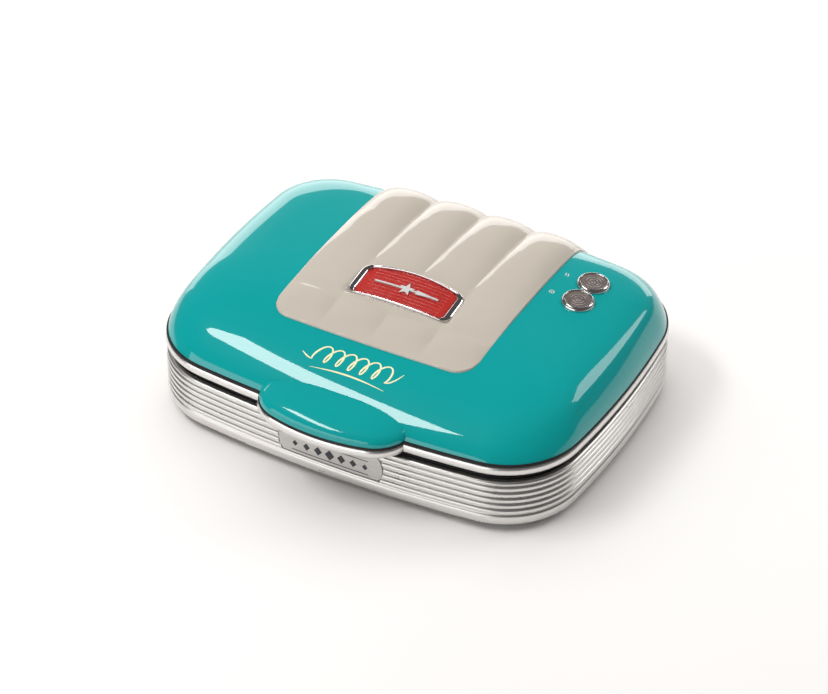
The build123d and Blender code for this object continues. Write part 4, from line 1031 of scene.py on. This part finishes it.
def brush_stroke(centre_line, widths, base):
    """Points and faces of a stroke whose width changes along its centre line."""
    left, right = [], []
    last = len(centre_line) - 1
    for i, (x, y) in enumerate(centre_line):
        ax, ay = centre_line[max(0, i - 1)]
        bx, by = centre_line[min(last, i + 1)]
        way = Vector((bx - ax, by - ay)).normalized()
        w = widths(i / last) / 2
        left.append(on_dome(x - way.y * w, y + way.x * w))
        right.append(on_dome(x + way.y * w, y - way.x * w))
    strip = [(base + i, base + i + 1, base + last + 2 + i, base + last + 1 + i) for i in range(last)]
    return left + right, strip


def print_piece(name, strokes, ink, slot):
    """One printed piece from several strokes."""
    all_verts, all_faces = [], []
    for line, widths in strokes:
        stroke_verts, strip = brush_stroke(line, widths, len(all_verts))
        all_verts += stroke_verts
        all_faces += strip
    return place_piece(link_piece(name, all_verts, all_faces, seat), "lid", slot, ink)


def pen(thin, thick):
    """Width of a stroke that swells in its middle."""
    return lambda t: thin + (thick - thin) * math.sin(math.pi * t) ** 1.2


def looping_line(x0, x1, y0, loops, height, lean):
    """A run of open loops, like a pen exercise."""
    line = []
    steps = loops * 26
    for i in range(steps + 1):
        a = 2 * math.pi * loops * i / steps
        x = x0 + (x1 - x0) * i / steps - 2.4 * math.sin(a) + lean * (1 - math.cos(a)) / 2
        line.append((x, y0 + height * (1 - math.cos(a)) / 2))
    return line


def flourish():
    """Loops between two tails, with a long underline."""
    middle = [(looping_line(-23.0, 20.0, -73.5, 6, 9.0, 2.6), lambda t: 0.75 + 0.35 * math.sin(37.7 * t) ** 2)]
    tail = [(-30.0 + 7.2 * t, -71.0 - 2.5 * math.sin(math.pi * t / 2)) for t in [i / 12 for i in range(13)]]
    head = [(20.0 + 8.0 * t, -73.5 + 7.5 * t * t) for t in [i / 14 for i in range(15)]]
    under = [(-22.0 + 44.0 * t, -77.6 + 1.5 * math.sin(math.pi * t)) for t in [i / 40 for i in range(41)]]
    return middle + [(tail, pen(0.3, 0.8)), (head, pen(0.3, 0.8)), (under, pen(0.2, 0.9))]


def ring_mark(cx, cy, radius):
    """A small open ring with a dash above it."""
    ring = [(cx + radius * math.sin(a), cy - radius * math.cos(a)) for a in
            [0.5 + 5.3 * i / 20 for i in range(21)]]
    return [(ring, lambda t: 0.5), ([(cx, cy - radius), (cx, cy + 0.2)], lambda t: 0.5)]


def wave_mark(cx, cy):
    """Two short upright waves."""
    strokes = []
    for k in (-0.75, 0.75):
        line = [(cx + k + 0.35 * math.sin(6.28 * t), cy - 1.5 + 3.0 * t) for t in [i / 12 for i in range(13)]]
        strokes.append((line, pen(0.25, 0.6)))
    return strokes


print_piece("lid_flourish", flourish(), cream_ink, "cream_gloss")
print_piece("power_mark", ring_mark(LIGHT_X - 15.6, LIGHTS["power"], 1.3), pale_ink, "cream_gloss")
print_piece("ready_mark", wave_mark(LIGHT_X - 15.6, LIGHTS["ready"]), pale_ink, "cream_gloss")

# %% [markdown]
# The plate on the base's front carries a dark ornament instead of letters: a row of lozenges between two
# bars. The marks follow the bow of the wall, so they are laid on the same arc as the plate itself.

# %% The plate's ornament
PLATE_PROUD = 0.05
ornament_ink = moulded("ornament_ink", (0.020, 0.022, 0.030), (0.035, 0.037, 0.046), 0.5)
PLATE_SET = 0.15
WALL_RADIUS = outline_arcs(BODY_HALF_WIDTH, BODY_HALF_DEPTH, BODY_CORNER)[1] - PLATE_SET


def on_plate(x, z):
    """A point on the face of the name plate."""
    y = WALL_RADIUS - BODY_HALF_DEPTH + PLATE_SET - math.sqrt(WALL_RADIUS**2 - x * x)
    return x, y - PLATE_PROUD, z


def lozenge(cx, cz, half_width, half_height):
    """Corners of one lozenge, with the curve of the wall in its middle."""
    return [on_plate(cx - half_width, cz), on_plate(cx, cz - half_height),
            on_plate(cx + half_width, cz), on_plate(cx, cz + half_height)]


verts, faces = [], []
for k in range(-3, 4):
    size = 1.0 - 0.14 * abs(k)
    faces.append(tuple(range(len(verts), len(verts) + 4)))
    verts += lozenge(k * 7.0, 16.4, 2.9 * size, 3.4 * size)
for low, high, reach in ((11.7, 12.2, 23.0), (20.6, 21.1, 23.0)):
    steps = 24
    start = len(verts)
    for i in range(steps + 1):
        x = -reach + 2 * reach * i / steps
        verts += [on_plate(x, low), on_plate(x, high)]
    faces += [(start + 2 * i, start + 2 * i + 2, start + 2 * i + 3, start + 2 * i + 1) for i in range(steps)]
ornament = link_piece("plate_ornament", verts, faces, stand, smooth=False)
place_piece(ornament, "base", "black_plastic", ornament_ink)

# %% [markdown]
# The studio is a warm white table that fills the view, and a few soft boxes. Gloss shows the lights
# themselves, so each has one job. A wide panel overhead gives the even light and the soft shadow, and is
# kept out of the reflections, so the teal stays deep. A narrow box makes the streak on the front slope, a
# long low card behind draws the pale rim of the lid and the bright ends of the flutes, a card in front fills
# the beads of the base, and a box behind to the right gives the soft bar on the right shoulder.

# %% Table and air
TABLE_HALF = 4.0
TABLE_CELLS = 24


def table():
    """A wide level table top."""
    steps = [TABLE_HALF * (2 * i / TABLE_CELLS - 1) for i in range(TABLE_CELLS + 1)]
    table_verts = [(x, y, 0.0) for y in steps for x in steps]
    table_faces = grid_faces(TABLE_CELLS + 1, TABLE_CELLS)
    return link_piece("table", table_verts, table_faces, lambda x, y, z: Vector((x, y, z)), smooth=False)


table_white, shader, space = new_finish("table_white", 0.6)
vary_colour(table_white, shader, noise(table_white, space, 3.0), (0.93, 0.915, 0.905), (0.95, 0.935, 0.925))
floor = table()
floor.data.materials.append(table_white)
floor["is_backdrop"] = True

world = bpy.data.worlds.new("studio_air")
world.use_nodes = True
world.node_tree.nodes["Background"].inputs["Color"].default_value = (1.0, 0.985, 0.975, 1)
world.node_tree.nodes["Background"].inputs["Strength"].default_value = 0.10
bpy.context.scene.world = world
bpy.context.scene.view_settings.view_transform = "Standard"
print("table", 2 * TABLE_HALF, "m wide")

# %% Soft boxes


def soft_box(name, place, aim, width, height, power, colour=(1.0, 0.99, 0.98)):
    """A rectangular light that faces a point."""
    data = bpy.data.lights.new(name, "AREA")
    data.shape = "RECTANGLE"
    data.size = width
    data.size_y = height
    data.energy = power
    data.color = colour
    box = bpy.data.objects.new(name, data)
    box.location = place
    box.rotation_euler = (Vector(aim) - Vector(place)).to_track_quat("-Z", "Y").to_euler()
    bpy.context.scene.collection.objects.link(box)
    print(name, "shines with", power, "W over", round(width * height, 2), "square metres")
    return box


key = soft_box("key_box", (-0.25, 0.25, 1.5), (0, 0, 0), 2.6, 2.6, 28.0)
key.visible_glossy = False
soft_box("streak_box", (-0.62, -0.50, 1.30), (0, 0, 0.05), 0.80, 0.22, 7.0)
soft_box("back_card", (-0.78, 1.42, 0.30), (0, 0, 0.05), 2.6, 0.6, 13.5)
soft_box("front_card", (-0.6, -1.55, 0.42), (0, 0, 0.03), 2.2, 0.7, 10.0)
soft_box("right_back_box", (1.05, 1.15, 0.95), (0, 0, 0.05), 0.7, 0.7, 6.0)

# %% Sizes and the end
low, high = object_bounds()
print("shown box, metres:", [round(v, 4) for v in (*low, *high)])
